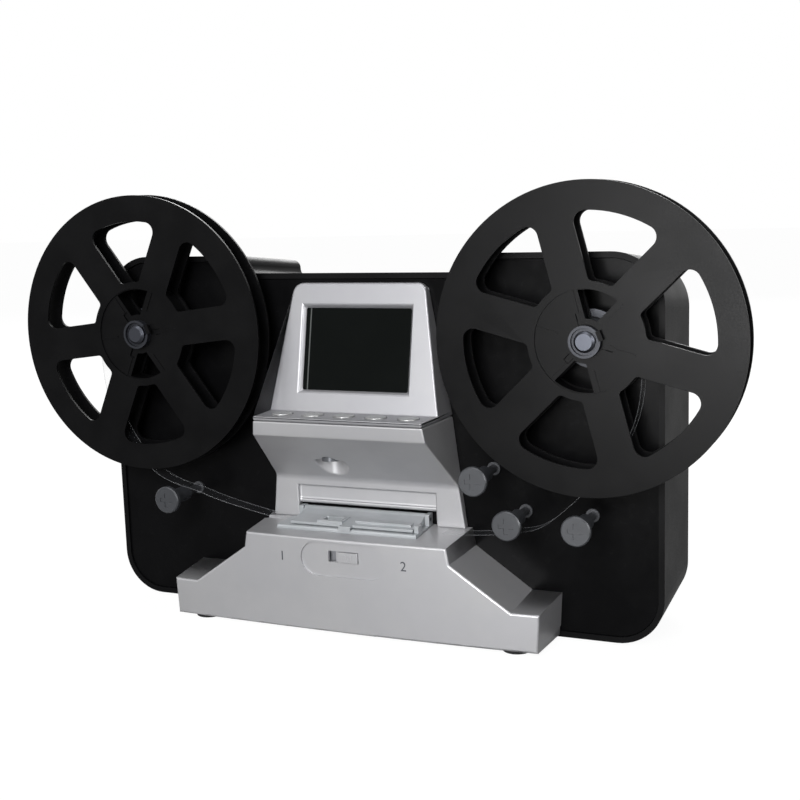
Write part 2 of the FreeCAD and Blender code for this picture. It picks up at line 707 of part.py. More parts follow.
def base_outline(inset):
    """Gives the stepped outline of the base cover at its rear, drawn inwards by an inset."""
    grow = f"{BASE_SPREAD} - {inset}"
    half_grow = f"{BASE_SPREAD} - {inset} / 2"
    return mirrored(
        [
            (f"Size.base_foot_half + {grow}", f"Size.base_floor - {BASE_SPREAD}"),
            (f"Size.base_half + {grow}", f"Size.wing_height + {grow}"),
            (f"Size.wing_inner + {half_grow}", f"Size.wing_height + {grow}"),
            (f"Size.ramp_half + {half_grow}", f"Size.table_height - Size.ramp_drop + {grow}"),
            (f"Size.table_half + {grow}", f"Size.table_height + {grow}"),
        ]
    )


def table_level(reach):
    """Gives the height of the sloping film table at a reach."""
    return f"(Size.table_height + (Size.base_reach - ({reach})) * tan(Size.base_draft))"


def bowed_plan(sketch, inset, rear):
    """Draws a plan with straight sides and a bowed front."""
    half = f"Size.base_half + {BASE_SPREAD} - {inset}"
    ends = at_reach(f"({BASE_FRONT} - Size.base_bow - {inset})")
    first = sketch.GeometryCount
    corners = [(half, ends), (half, rear), (f"-({half})", rear), (f"-({half})", ends)]
    points = [FreeCAD.Vector(value(across), value(up), 0) for across, up in corners]
    for index in range(3):
        sketch.addGeometry(Part.LineSegment(points[index], points[index + 1]), False)
        fix_point(sketch, first + index, 1, *corners[index])
        if index:
            sketch.addConstraint(
                Sketcher.Constraint("Coincident", first + index - 1, 2, first + index, 1)
            )
    fix_point(sketch, first + 2, 2, *corners[3])
    middle = points[0] * 0.5 + points[3] * 0.5 - FreeCAD.Vector(0, value("Size.base_bow"), 0)
    arc = sketch.addGeometry(Part.Arc(points[3], middle, points[0]), False)
    sketch.addConstraint(Sketcher.Constraint("Coincident", arc, 1, first + 2, 2))
    sketch.addConstraint(Sketcher.Constraint("Coincident", arc, 2, first, 1))
    radius = f"((({half})^2 + Size.base_bow^2) / (2 * Size.base_bow))"
    constraint = sketch.addConstraint(Sketcher.Constraint("Radius", arc, value(radius)))
    sketch.setExpression(f"Constraints[{constraint}]", radius)


def base_form(label, inset, rear):
    """Makes the form of the base cover, drawn inwards by an inset."""
    body = new_body(label)
    front = front_sketch(body, rear)
    polygon(front, base_outline(inset))
    pad(body, front, "Size.base_reach + Size.panel_recess", draft="-Size.base_draft")
    plan_body = new_body(f"{label}_plan")
    plan = top_sketch(plan_body, f"Size.base_floor + {inset}")
    bowed_plan(plan, inset, rear)
    pad(plan_body, plan, "Size.centre_height")
    feature = body.newObject("PartDesign::Boolean", "Boolean")
    feature.setObjects([plan_body])
    feature.Type = "Common"
    doc.recompute()
    return body


KNOB_RIGHT = "Size.slot_width / 2 - Size.hole_gap / 2"
KNOB_LEFT = f"{KNOB_RIGHT} - Size.knob_width"
SLOT_HEIGHT = f"{RECESS} + Size.slot_height / 4"
SWITCH_SEAT = "(Size.base_reach - Size.cover_wall - Size.end_gap)"
SWITCH_HALF = "(Size.slot_width / 2 + 2 * Size.knob_flange + Size.slot_height)"
CLAW_Y = f"{FILM} - Size.sprocket_reach"
TABLE_UNDER = "Size.table_height - Size.cover_wall"
CLAW_HALF_LENGTH = "(Size.claw_travel * 2)"
CLAW_HALF_WIDTH = "Size.claw_half_width"
CLAW_TOP = f"{TABLE_UNDER} - Size.hole_gap"
CLAW_BOTTOM = f"{CLAW_TOP} - Size.board_thickness"
LIGHT_BOARD_TOP = f"{TABLE_UNDER} - Size.standoff / 2"
LIGHT_HALF_X = "(Size.aperture_width / 2 + 2 * Size.standoff_radius)"


def make_base_cover():
    """Makes the silver base cover with its film table, switch recess and inner supports."""
    rear = at_depth("Size.panel_recess")
    cover = base_form("base_cover", "0", rear)
    front_limits = (value(at_reach(BASE_FRONT)), value(at_reach(f"({BASE_FRONT} - Size.base_bow)")))
    fillet(cover, find_edges(cover, None, None, front_limits), "Size.edge_round")
    hollow = base_form("base_hollow", "Size.cover_wall", rear)
    subtract(cover, [hollow])
    plate = top_sketch(cover, TABLE_UNDER)
    rectangle(
        plate,
        "-Size.table_half",
        "Size.table_half",
        at_reach("(Size.bed_reach + Size.cover_wall)"),
        PANEL_Y,
    )
    pad(cover, plate, f"{BED_SEAT} - ({TABLE_UNDER})")
    seat = front_sketch(cover, at_reach(SWITCH_SEAT))
    rectangle(
        seat,
        f"-{SWITCH_HALF}",
        SWITCH_HALF,
        f"{RECESS} - Size.recess_radius",
        f"{TABLE_UNDER} + Size.edge_round",
    )
    pad(cover, seat, "Size.cover_wall / 2")
    recess = front_sketch(cover, at_reach(f"({BASE_FRONT} - Size.recess_depth)"))
    rectangle(
        recess,
        "-(Size.recess_half - Size.recess_radius)",
        "Size.recess_half - Size.recess_radius",
        f"{RECESS} - Size.recess_radius",
        f"{RECESS} + Size.recess_radius",
    )
    pocket(cover, recess, "Size.base_reach", reverse=True)
    for side in ("", "-"):
        end = front_sketch(cover, at_reach(f"({BASE_FRONT} - Size.recess_depth)"))
        centre = f"{side}(Size.recess_half - Size.recess_radius)"
        circle(end, "Size.recess_radius", centre, f"{RECESS}")
        pocket(cover, end, "Size.base_reach", reverse=True)
    slot = front_sketch(cover, at_reach(f"({BASE_FRONT} + Size.base_bow)"))
    rectangle(
        slot,
        "-Size.slot_width / 2",
        "Size.slot_width / 2",
        f"{SLOT_HEIGHT} - Size.slot_height / 2",
        f"{SLOT_HEIGHT} + Size.slot_height / 2",
    )
    pocket(cover, slot, "2 * Size.base_bow + 2 * Size.cover_wall + Size.end_gap")
    rails = top_sketch(cover, TABLE_UNDER)
    rail_inner = f"({CLAW_HALF_WIDTH} + Size.hole_gap)"
    for side in (-1, 1):
        edges = sorted(
            (f"{CLAW_Y} + ({side}) * {rail_inner}", f"{CLAW_Y} + ({side}) * ({rail_inner} + Size.cover_wall)"),
            key=value,
        )
        rectangle(
            rails,
            f"Size.claw_middle - {CLAW_HALF_LENGTH}",
            f"Size.claw_middle + {CLAW_HALF_LENGTH}",
            *edges,
        )
    pad(cover, rails, f"{TABLE_UNDER} - ({CLAW_BOTTOM}) + Size.hole_gap + Size.cover_wall / 2", reverse=True)
    lips = top_sketch(cover, f"{CLAW_BOTTOM} - Size.hole_gap")
    for side in (-1, 1):
        edges = sorted(
            (
                f"{CLAW_Y} + ({side}) * ({CLAW_HALF_WIDTH} - Size.cover_wall / 2)",
                f"{CLAW_Y} + ({side}) * ({rail_inner} + Size.cover_wall)",
            ),
            key=value,
        )
        rectangle(
            lips,
            f"Size.claw_middle - {CLAW_HALF_LENGTH}",
            f"Size.claw_middle + {CLAW_HALF_LENGTH}",
            *edges,
        )
    pad(cover, lips, "Size.cover_wall / 2", reverse=True)
    return cover


def finish_base_cover(cover):
    """Cuts the seat and the openings of the film bed and the pockets for the front feet."""
    seat = top_sketch(cover, BED_SEAT)
    bed_plan(seat, "Size.hole_gap")
    pocket(cover, seat, "Size.table_height", reverse=True)
    groove = top_sketch(cover, f"{table_level('Size.groove_reach')} - Size.groove_depth")
    rectangle(
        groove,
        "-Size.base_half",
        "-Size.groove_start",
        at_reach("Size.groove_reach"),
        at_reach("(Size.band_reach + Size.end_gap)"),
    )
    pocket(cover, groove, "Size.table_height", reverse=True)
    slit = top_sketch(cover, TABLE_UNDER)
    claw_slot(slit)
    rectangle(slit, *light_opening("0"))
    pocket(cover, slit, "Size.table_height", reverse=True)
    notch = side_sketch(cover)
    floor = "Size.foot_height + Size.housing_wall + Size.cover_wall"
    rectangle(notch, RIM, at_depth("Size.housing_wall"), "0", floor)
    pocket(cover, notch, "Size.body_width", both=True)
    feet = top_sketch(cover, "Size.base_floor + Size.foot_sink")
    for across in ("Size.front_foot_x", "-Size.front_foot_x"):
        circle(feet, "Size.foot_radius", across, at_reach("Size.front_foot_reach"))
    pocket(cover, feet, "Size.base_floor + Size.foot_sink")
    return keep(cover)


def light_opening(grow):
    """Gives the sides of the light opening, grown by a formula."""
    return (
        f"Size.camera_middle - (Size.aperture_width / 2 + {grow})",
        f"Size.camera_middle + (Size.aperture_width / 2 + {grow})",
        f"{FILM} - (Size.aperture_depth / 2 + {grow})",
        f"{FILM} + (Size.aperture_depth / 2 + {grow})",
    )


# Tower
INNER_SHIFT = f"Size.cover_wall / cos({FACE_LEAN})"


def face_reach(height):
    """Gives the reach of the screen face at a height."""
    return f"(Size.face_reach - (({height}) - Size.shelf_height) * {FACE_SLOPE})"


def tower_profile(inset):
    """Gives the side profile of the tower, drawn inwards by an inset."""
    half = f"({inset}) / 2"
    return [
        (at_depth("Size.panel_recess"), f"{TOWER_TOP} - {inset}"),
        (at_reach(f"(Size.tower_top_reach - {inset})"), f"{TOWER_TOP} - {inset}"),
        (at_reach(f"(Size.face_reach - {inset})"), f"Size.shelf_height - {inset}"),
        (at_reach(f"(Size.shelf_reach - {inset})"), f"Size.shelf_height - {inset}"),
        (
            at_reach(f"(Size.shelf_reach - Size.shelf_lean - {inset})"),
            f"Size.shelf_height - Size.shelf_fall + {half}",
        ),
        (at_reach(f"(Size.band_reach - {inset})"), f"{BAND} + {half}"),
    ]


def tower_outline(inset):
    """Gives the front outline of the tower, drawn inwards by an inset."""
    return mirrored(
        [
            (f"Size.tower_foot_half - {inset}", "Size.table_height - Size.cover_wall"),
            (f"Size.tower_band_half - {inset}", f"{BAND}"),
            (f"Size.tower_shelf_half - {inset}", "Size.shelf_height"),
            (f"Size.tower_top_half - {inset}", f"{TOWER_TOP} - {inset}"),
        ]
    )


def tower_form(label, inset, profile, band_round=None):
    """Makes the form of the tower inside a side profile, with a soft band where asked."""
    body = new_body(label)
    outline = front_sketch(body, at_depth("Size.panel_recess"))
    polygon(outline, tower_outline(inset))
    pad(body, outline, "Size.shelf_reach + Size.panel_recess", draft="-Size.tower_draft")
    heights = (value(f"{TOWER_TOP} - Size.tower_corner"), value(TOWER_TOP))
    names = find_edges(body, ALONG_Y, None, None, heights)
    fillet(body, names, f"Size.tower_corner - {inset}")
    side_body = new_body(f"{label}_side")
    side = side_sketch(side_body)
    polygon(side, profile)
    pad(side_body, side, "2 * Size.base_half", both=True)
    feature = body.newObject("PartDesign::Boolean", "Boolean")
    feature.setObjects([side_body])
    feature.Type = "Common"
    doc.recompute()
    if band_round:
        corner = (value(BAND), value(BAND))
        fillet(body, find_edges(body, ALONG_X, None, None, corner), band_round)
    return body


SHELF_UNDER = "Size.shelf_height - Size.shelf_plate"
COVER_TOP = f"{SHELF_UNDER} - Size.parting_gap"
PANEL_Y = at_depth("Size.panel_recess")
FACE_COS = f"cos({FACE_LEAN})"
FACE_SIN = f"sin({FACE_LEAN})"


def face_sketch(body, depth):
    """Adds a sketch along the sloping screen face at a depth behind it."""
    sketch = body.newObject("Sketcher::SketchObject", "Sketch")
    plane = next(item for item in body.Origin.OriginFeatures if item.Role == "XZ_Plane")
    sketch.AttachmentSupport = (plane, "")
    sketch.MapMode = "FlatFace"
    tilt = FreeCAD.Rotation(FreeCAD.Vector(-1, 0, 0), value(FACE_LEAN))
    sketch.AttachmentOffset = FreeCAD.Placement(FreeCAD.Vector(), tilt)
    sketch.setExpression("AttachmentOffset.Rotation.Angle", FACE_LEAN)
    sketch.setExpression("AttachmentOffset.Base.y", f"Size.shelf_height - ({depth}) * {FACE_SIN}")
    back = f"-({RIM} - Size.face_reach) - ({depth}) * {FACE_COS}"
    sketch.setExpression("AttachmentOffset.Base.z", back)
    doc.recompute()
    return sketch


def screen_rectangle(sketch, grow):
    """Draws the screen frame on the sloping face, grown by a formula."""
    rectangle(
        sketch,
        f"-(Size.window_half + {grow})",
        f"Size.window_half + {grow}",
        f"Size.window_rise / {FACE_COS} - ({grow})",
        f"(Size.window_rise + Size.window_height) / {FACE_COS} + {grow}",
    )


def button_places():
    """Gives the sideways places of the five buttons."""
    return [f"{index} * Size.button_pitch" for index in range(-2, 3)]


def make_screen_cover():
    """Makes the upper silver cover with the screen frame and the button shelf."""
    profile = tower_profile("0")[:4]
    profile[3:] = [
        profile[3],
        (at_reach("(Size.shelf_reach - Size.shelf_lean * Size.shelf_plate / Size.shelf_fall)"), SHELF_UNDER),
        (PANEL_Y, SHELF_UNDER),
    ]
    cover = tower_form("screen_cover", "0", profile)
    ceiling = f"{TOWER_TOP} - Size.cover_wall"
    inner = [
        (PANEL_Y, ceiling),
        (at_reach(f"({face_reach(ceiling)} - {INNER_SHIFT})"), ceiling),
        (at_reach(f"({face_reach(SHELF_UNDER)} - {INNER_SHIFT})"), SHELF_UNDER),
        (PANEL_Y, SHELF_UNDER),
    ]
    hollow = tower_form("screen_hollow", "Size.cover_wall", inner)
    subtract(cover, [hollow])
    window = face_sketch(cover, "0")
    screen_rectangle(window, "0")
    pocket(cover, window, "Size.cover_wall", draft="-atan(Size.window_bevel / Size.cover_wall)")
    holes = top_sketch(cover, "Size.shelf_height")
    for across in button_places():
        circle(holes, "Size.button_radius + Size.button_gap", across, at_reach("Size.button_reach"))
    pocket(cover, holes, "Size.shelf_plate")
    return keep(cover)


LENS_BOTTOM = f"({PORT_TOP} - Size.lens_stand)"
CAMERA_BOARD = "(Size.shelf_height - Size.camera_drop)"
BUTTON_BOARD = (
    f"{SHELF_UNDER} - Size.button_flange_height - Size.button_travel * 3 - Size.standoff / 3"
)
CAMERA_HALF = "(2.4 * Size.lens_radius)"
CAMERA_DEPTH_HALF = "(1.6 * Size.lens_radius)"
STUD_RADIUS = "(Size.standoff_radius / 2)"


def make_tower_cover():
    """Makes the lower silver cover with the camera port and the gate mouth."""
    profile = [
        (PANEL_Y, COVER_TOP),
        (at_reach(f"(Size.shelf_reach - Size.shelf_lean * (Size.shelf_height - ({COVER_TOP})) / Size.shelf_fall)"), COVER_TOP),
        *tower_profile("0")[4:],
        (at_reach("Size.tower_top_reach"), table_level("Size.tower_top_reach")),
        (PANEL_Y, table_level("-Size.panel_recess")),
    ]
    cover = tower_form("tower_cover", "0", profile, "Size.band_round")
    wall = "Size.cover_wall"
    inner = tower_profile(wall)[4:]
    inner.insert(0, (inner[0][0], COVER_TOP))
    inner.insert(0, (PANEL_Y, COVER_TOP))
    inner.append((PANEL_Y, inner[-1][1]))
    hollow = tower_form("tower_hollow", wall, inner)
    cup = rod("camera_cup", "Size.camera_port_radius + Size.cover_wall", "Size.table_height",
              f"{PORT_TOP} + Size.cover_wall / 2", upright=True)
    place(cup, "Size.camera_middle", FILM, "0")
    tools = [cup]
    for side in (-1, 1):
        for back in (-1, 1):
            stud = rod("camera_stud", STUD_RADIUS, "Size.table_height", CAMERA_BOARD, upright=True)
            across = f"Size.camera_middle + ({side}) * ({CAMERA_HALF} - {STUD_RADIUS})"
            depth = f"{FILM} + ({back}) * ({CAMERA_DEPTH_HALF} - {STUD_RADIUS})"
            place(stud, across, depth, "0")
            tools.append(stud)
    for across in ("-2 * Size.button_pitch", "Size.button_pitch / 2", "2 * Size.button_pitch"):
        stud = rod("button_stud", STUD_RADIUS, "Size.table_height", BUTTON_BOARD, upright=True)
        place(stud, across, at_reach("Size.button_reach"), "0")
        tools.append(stud)
    subtract(hollow, tools)
    subtract(cover, [hollow])
    port = top_sketch(cover, f"{PORT_TOP}")
    circle(port, "Size.camera_port_radius", "Size.camera_middle", FILM)
    pocket(cover, port, f"{PORT_TOP} - {BAND} + Size.foot_height")
    eye = top_sketch(cover, "Size.shelf_height")
    circle(eye, "Size.lens_radius + Size.end_gap", "Size.camera_middle", FILM)
    pocket(cover, eye, f"Size.shelf_height - {BAND}")
    mouth = front_sketch(cover, at_reach("(Size.band_reach - Size.mouth_depth)"))
    rectangle(mouth, "-Size.mouth_half", "Size.mouth_half", "Size.foot_height", MOUTH_TOP)
    pocket(cover, mouth, "Size.shelf_reach", reverse=True)
    slit = front_sketch(cover, at_reach("Size.shelf_reach"))
    rectangle(slit, "-Size.mouth_half", "Size.mouth_half", "Size.foot_height", LIP)
    pocket(cover, slit)
    lip = side_sketch(cover)
    circle(lip, "Size.lip_radius", at_reach("Size.end_gap"), LIP)
    pad(cover, lip, "2 * Size.mouth_half", both=True)
    return keep(cover)


def make_screen():
    """Makes the screen glass and the screen module behind it."""
    glass = new_body("screen_glass")
    front = face_sketch(glass, "Size.cover_wall")
    screen_rectangle(front, "Size.glass_lap - Size.window_bevel")
    pad(glass, front, "Size.glass_thickness", reverse=True)
    keep(glass)
    module = new_body("screen_module")
    rear = face_sketch(module, "Size.cover_wall + Size.glass_thickness")
    screen_rectangle(rear, "Size.glass_lap - Size.window_bevel")
    pad(module, rear, "Size.screen_thickness", reverse=True)
    keep(module)


def make_buttons():
    """Makes the five buttons and the board with their switches."""
    low = f"{BUTTON_BOARD} + Size.board_thickness"
    switch_top = f"{low} + Size.button_travel * 2"
    flange_top = f"{SHELF_UNDER} - Size.catch_gap / 2"
    flange_bottom = f"{flange_top} - Size.button_flange_height"
    top = "Size.shelf_height + Size.button_stand"
    for number, across in enumerate(button_places(), start=1):
        corners = [
            ("0", f"{switch_top} + Size.button_travel + Size.catch_gap / 2"),
            ("Size.button_stem", f"{switch_top} + Size.button_travel + Size.catch_gap / 2"),
            ("Size.button_stem", flange_bottom),
            ("Size.button_radius + Size.button_flange", flange_bottom),
            ("Size.button_radius + Size.button_flange", flange_top),
            ("Size.button_radius", flange_top),
            ("Size.button_radius", top),
            ("Size.button_radius - Size.button_dish", top),
            ("0", f"{top} - Size.button_dish"),
        ]
        button = turned(f"button_{number}", corners, upright=True)
        place(button, across, at_reach("Size.button_reach"), "0")
        keep(button)
    half_depth = "(Size.button_radius + Size.edge_round)"
    board = block(
        "button_board",
        "-(2 * Size.button_pitch + Size.button_radius)",
        "2 * Size.button_pitch + Size.button_radius",
        f"{at_reach('Size.button_reach')} - {half_depth}",
        f"{at_reach('Size.button_reach')} + {half_depth}",
        BUTTON_BOARD,
        low,
    )
    switches = top_sketch(board, low)
    for across in button_places():
        circle(switches, "Size.button_stem * 1.5", across, at_reach("Size.button_reach"))
    pad(board, switches, "Size.button_travel * 2")
    keep(board)


def make_camera():
    """Makes the camera board and its lens."""
    lens = rod("camera_lens", "Size.lens_radius", LENS_BOTTOM, CAMERA_BOARD, upright=True)
    place(lens, "Size.camera_middle", FILM, "0")
    keep(lens)
    board = block(
        "camera_board",
        f"Size.camera_middle - {CAMERA_HALF}",
        f"Size.camera_middle + {CAMERA_HALF}",
        f"{FILM} - {CAMERA_DEPTH_HALF}",
        f"{FILM} + {CAMERA_DEPTH_HALF}",
        CAMERA_BOARD,
        f"{CAMERA_BOARD} + Size.board_thickness",
    )
    keep(board)


# Film gate
GATE_BOTTOM = f"{BED_TOP} + Size.film_gap"
HINGE_Y = at_reach("Size.gate_axis_reach")
HINGE_Z = f"{GATE_BOTTOM} + Size.gate_rear / 2"
LUG_LEFT = "Size.gate_left + Size.lug_gap"
LUG_RIGHT = "Size.gate_right + Size.lug_gap"


def claw_slot(sketch):
    """Draws the slot in which the tip of the claw travels."""
    half = "(Size.claw_travel / 2 + 2 * Size.claw_pin)"
    rectangle(
        sketch,
        f"Size.claw_middle - {half}",
        f"Size.claw_middle + {half}",
        f"{CLAW_Y} - 2 * Size.claw_pin",
        f"{CLAW_Y} + 2 * Size.claw_pin",
    )


def bed_plan(sketch, grow):
    """Draws the plan of the film bed, which is wider on the left in front of the mouth."""
    front = at_reach(f"(Size.bed_reach + {grow})")
    step = at_reach("(Size.band_reach + Size.end_gap)")
    right = f"Size.bed_front_right + {grow}"
    left = f"-(Size.bed_front_left + {grow})"
    inner = f"-(Size.bed_half + {grow})"
    polygon(
        sketch,
        [(left, front), (right, front), (right, PANEL_Y), (inner, PANEL_Y), (inner, step), (left, step)],
    )


def make_film_bed():
    """Makes the film bed with its light opening, claw slot, hinge lugs and latch."""
    bed = new_body("film_bed")
    plan = top_sketch(bed, BED_SEAT)
    bed_plan(plan, "0")
    pad(bed, plan, f"{BED_TOP} - {BED_SEAT}")
    front = value(at_reach("Size.bed_reach"))
    top = value(BED_TOP)
    fillet(bed, find_edges(bed, ALONG_X, None, (front, front), (top, top)), "Size.edge_round")
    latch = top_sketch(bed, BED_TOP)
    rectangle(
        latch,
        LUG_RIGHT,
        "Size.bed_front_right",
        at_reach("Size.latch_reach"),
        at_reach("(Size.latch_reach - Size.latch_length)"),
    )
    pad(bed, latch, "Size.latch_height")
    for first, last in ((f"-({LUG_LEFT} + Size.lug_thickness)", f"-({LUG_LEFT})"),
                        (LUG_RIGHT, f"{LUG_RIGHT} + Size.lug_thickness")):
        lug = top_sketch(bed, BED_TOP)
        reach = "(Size.gate_rear / 2)"
        rectangle(lug, first, last, f"{HINGE_Y} - {reach}", f"{HINGE_Y} + {reach}")
        pad(bed, lug, "Size.film_gap + Size.gate_rear")
    hole = side_sketch(bed, "Size.base_half")
    circle(hole, "Size.gate_pin_radius", HINGE_Y, HINGE_Z)
    pocket(bed, hole)
    openings = top_sketch(bed, BED_TOP)
    claw_slot(openings)
    rectangle(openings, *light_opening("0"))
    pocket(bed, openings)
    seat = top_sketch(bed, BED_TOP)
    rectangle(seat, *light_opening("Size.edge_round"))
    pocket(bed, seat, "Size.diffuser_thickness")
    keep(bed)
    diffuser = block(
        "light_window", *light_opening("Size.edge_round"), f"{BED_TOP} - Size.diffuser_thickness", BED_TOP
    )
    keep(diffuser)
    pin = new_body("gate_hinge_pin")
    round_end = side_sketch(pin, f"-({LUG_LEFT} + Size.lug_thickness)")
    circle(round_end, "Size.gate_pin_radius", HINGE_Y, HINGE_Z)
    pad(pin, round_end, f"{LUG_LEFT} + {LUG_RIGHT} + 2 * Size.lug_thickness")
    keep(pin)


def make_gate():
    """Makes the hinged flap that presses the film flat."""
    gate = new_body("film_gate_flap")
    front = at_reach("Size.gate_reach")
    side = side_sketch(gate, "-Size.gate_left")
    corners = [
        (front, GATE_BOTTOM),
        (HINGE_Y, GATE_BOTTOM),
        (HINGE_Y, f"{GATE_BOTTOM} + Size.gate_rear"),
        (at_reach("Size.gate_bend_reach"), f"{GATE_BOTTOM} + Size.gate_bend"),
        (front, f"{GATE_BOTTOM} + Size.gate_front"),
    ]
    polygon(side, corners)
    pad(gate, side, "Size.gate_left + Size.gate_right")
    barrel = side_sketch(gate, "-Size.gate_left")
    circle(barrel, "Size.gate_rear / 2", HINGE_Y, HINGE_Z)
    pad(gate, barrel, "Size.gate_left + Size.gate_right")
    tab = top_sketch(gate, GATE_BOTTOM)
    half = "(Size.gate_tab_width / 2)"
    rectangle(
        tab,
        f"Size.gate_tab_middle - {half}",
        f"Size.gate_tab_middle + {half}",
        f"{front} - Size.gate_tab",
        f"{front} + Size.gate_tab",
    )
    pad(gate, tab, "Size.gate_front")
    tab_lip = top_sketch(gate, GATE_BOTTOM)
    rectangle(
        tab_lip,
        f"Size.gate_tab_middle - {half}",
        f"Size.gate_tab_middle + {half}",
        f"{front} - Size.gate_tab",
        f"{front} - Size.gate_tab + Size.gate_tab_lip",
    )
    pad(gate, tab_lip, "Size.gate_tab_lip", reverse=True)
    ridge = top_sketch(gate, GATE_BOTTOM)
    rectangle(
        ridge,
        "Size.gate_tab_middle + Size.gate_tab_width / 2",
        "Size.gate_right - Size.ridge_half",
        f"{FILM} - Size.ridge_half",
        f"{FILM} + Size.ridge_half",
    )
    pad(gate, ridge, "Size.ridge_height")
    frame = top_sketch(gate, GATE_BOTTOM)
    rectangle(frame, *light_opening("Size.aperture_frame"))
    pad(gate, frame, "Size.frame_height")
    hole = side_sketch(gate, "Size.base_half")
    circle(hole, "Size.gate_pin_radius + Size.pin_gap", HINGE_Y, HINGE_Z)
    pocket(gate, hole)
    opening = top_sketch(gate, "Size.shelf_height")
    rectangle(opening, *light_opening("0"))
    pocket(gate, opening)
    relief = top_sketch(gate, GATE_BOTTOM)
    claw_slot(relief)
    pocket(gate, relief, "Size.gate_front / 2", reverse=True)
    return keep(gate)


def make_claw():
    """Makes the pulldown claw and its motor."""
    claw = block(
        "pulldown_claw",
        f"Size.claw_middle - {CLAW_HALF_WIDTH}",
        f"Size.claw_middle + {CLAW_HALF_LENGTH}",
        f"{CLAW_Y} - {CLAW_HALF_WIDTH}",
        f"{CLAW_Y} + {CLAW_HALF_WIDTH}",
        CLAW_BOTTOM,
        CLAW_TOP,
    )
    tip = top_sketch(claw, CLAW_TOP)
    circle(tip, "Size.claw_pin", "Size.claw_middle", CLAW_Y)
    pad(claw, tip, f"{GATE_BOTTOM} + Size.hole_gap / 2 - ({CLAW_TOP})")
    keep(claw)
    floor = "Size.base_floor + Size.cover_wall"
    body_top = f"{RECESS} - Size.recess_radius - Size.edge_round"
    shaft_top = f"{CLAW_BOTTOM} - 2 * Size.cover_wall / 2 - Size.hole_gap"
    shaft = "(Size.shaft_radius / 2)"
    corners = [
        ("0", floor),
        ("Size.claw_motor_radius", floor),
        ("Size.claw_motor_radius", body_top),
        (shaft, body_top),
        (shaft, f"{shaft_top} - Size.board_thickness"),
        ("Size.claw_travel", f"{shaft_top} - Size.board_thickness"),
        ("Size.claw_travel", shaft_top),
        ("0", shaft_top),
    ]
    motor = turned("claw_motor", corners, upright=True)
    place(motor, "Size.claw_motor_x", CLAW_Y, "0")
    keep(motor)


def make_light():
    """Makes the light board under the film bed."""
    board = block(
        "light_board",
        f"Size.camera_middle - {LIGHT_HALF_X}",
        f"Size.camera_middle + {LIGHT_HALF_X}",
        f"{FILM} - {LIGHT_HALF_X} / 2 - Size.standoff_radius",
        f"{FILM} + {LIGHT_HALF_X} / 2 + Size.standoff_radius",
        f"{LIGHT_BOARD_TOP} - Size.board_thickness",
        LIGHT_BOARD_TOP,
    )
    lamp = top_sketch(board, LIGHT_BOARD_TOP)
    rectangle(lamp, *light_opening("-Size.edge_round"))
    pad(board, lamp, "Size.standoff / 4")
    keep(board)


def light_studs(cover):
    """Adds the posts of the light board under the film table."""
    studs = top_sketch(cover, f"{TABLE_UNDER} + Size.edge_round")
    for side in ("", "-"):
        for back in ("", "-"):
            circle(
                studs,
                STUD_RADIUS,
                f"Size.camera_middle + {side}({LIGHT_HALF_X} - {STUD_RADIUS})",
                f"{FILM} + {back}({LIGHT_HALF_X} / 2 + {STUD_RADIUS})",
            )
    pad(cover, studs, f"{TABLE_UNDER} + Size.edge_round - ({LIGHT_BOARD_TOP})", reverse=True)
    return cover


def make_switch():
    """Makes the sliding switch knob and the switch body behind it."""
    knob = new_body("slide_switch")
    high = "(Size.slot_height / 2 - Size.knob_gap)"
    flange_front = at_reach(f"({SWITCH_SEAT} - Size.hole_gap / 2)")
    front = at_reach("(Size.base_reach - Size.recess_depth + Size.knob_stand)")
    stem = front_sketch(knob, flange_front)
    rectangle(stem, KNOB_LEFT, KNOB_RIGHT, f"{SLOT_HEIGHT} - {high}", f"{SLOT_HEIGHT} + {high}")
    pad(knob, stem, f"{flange_front} - ({front})")
    wide = "(2 * Size.knob_flange)"
    tall = "(Size.slot_height / 2 + Size.knob_flange)"
    flange = front_sketch(knob, flange_front)
    rectangle(
        flange,
        f"{KNOB_LEFT} - {wide}",
        f"{KNOB_RIGHT} + {wide}",
        f"{SLOT_HEIGHT} - {tall}",
        f"{SLOT_HEIGHT} + {tall}",
    )
    pad(knob, flange, "Size.knob_flange", reverse=True)
    keep(knob)
    seat = at_reach(SWITCH_SEAT)
    body = block(
        "switch_body",
        f"-{SWITCH_HALF}",
        SWITCH_HALF,
        seat,
        f"{seat} + Size.switch_depth",
        f"{RECESS} - Size.recess_radius + Size.edge_round",
        f"{TABLE_UNDER} - Size.edge_round / 2",
    )
    room = front_sketch(body, seat)
    rectangle(
        room,
        f"-({KNOB_RIGHT} + {wide} + Size.hole_gap)",
        f"{KNOB_RIGHT} + {wide} + Size.hole_gap",
        f"{SLOT_HEIGHT} - ({tall} + Size.hole_gap)",
        f"{SLOT_HEIGHT} + ({tall} + Size.hole_gap)",
    )
    pocket(body, room, "Size.knob_flange + Size.end_gap")
    keep(body)


# Film transport
REEL_FRONT = at_reach("(Size.film_reach + Size.reel_width / 2)")
REEL_REAR = at_reach("(Size.film_reach - Size.reel_width / 2)")
REEL_PLACES = {
    "left": (f"-{SPINDLE_X}", "Size.left_reel_turn"),
    "right": (SPINDLE_X, "Size.right_reel_turn"),
}


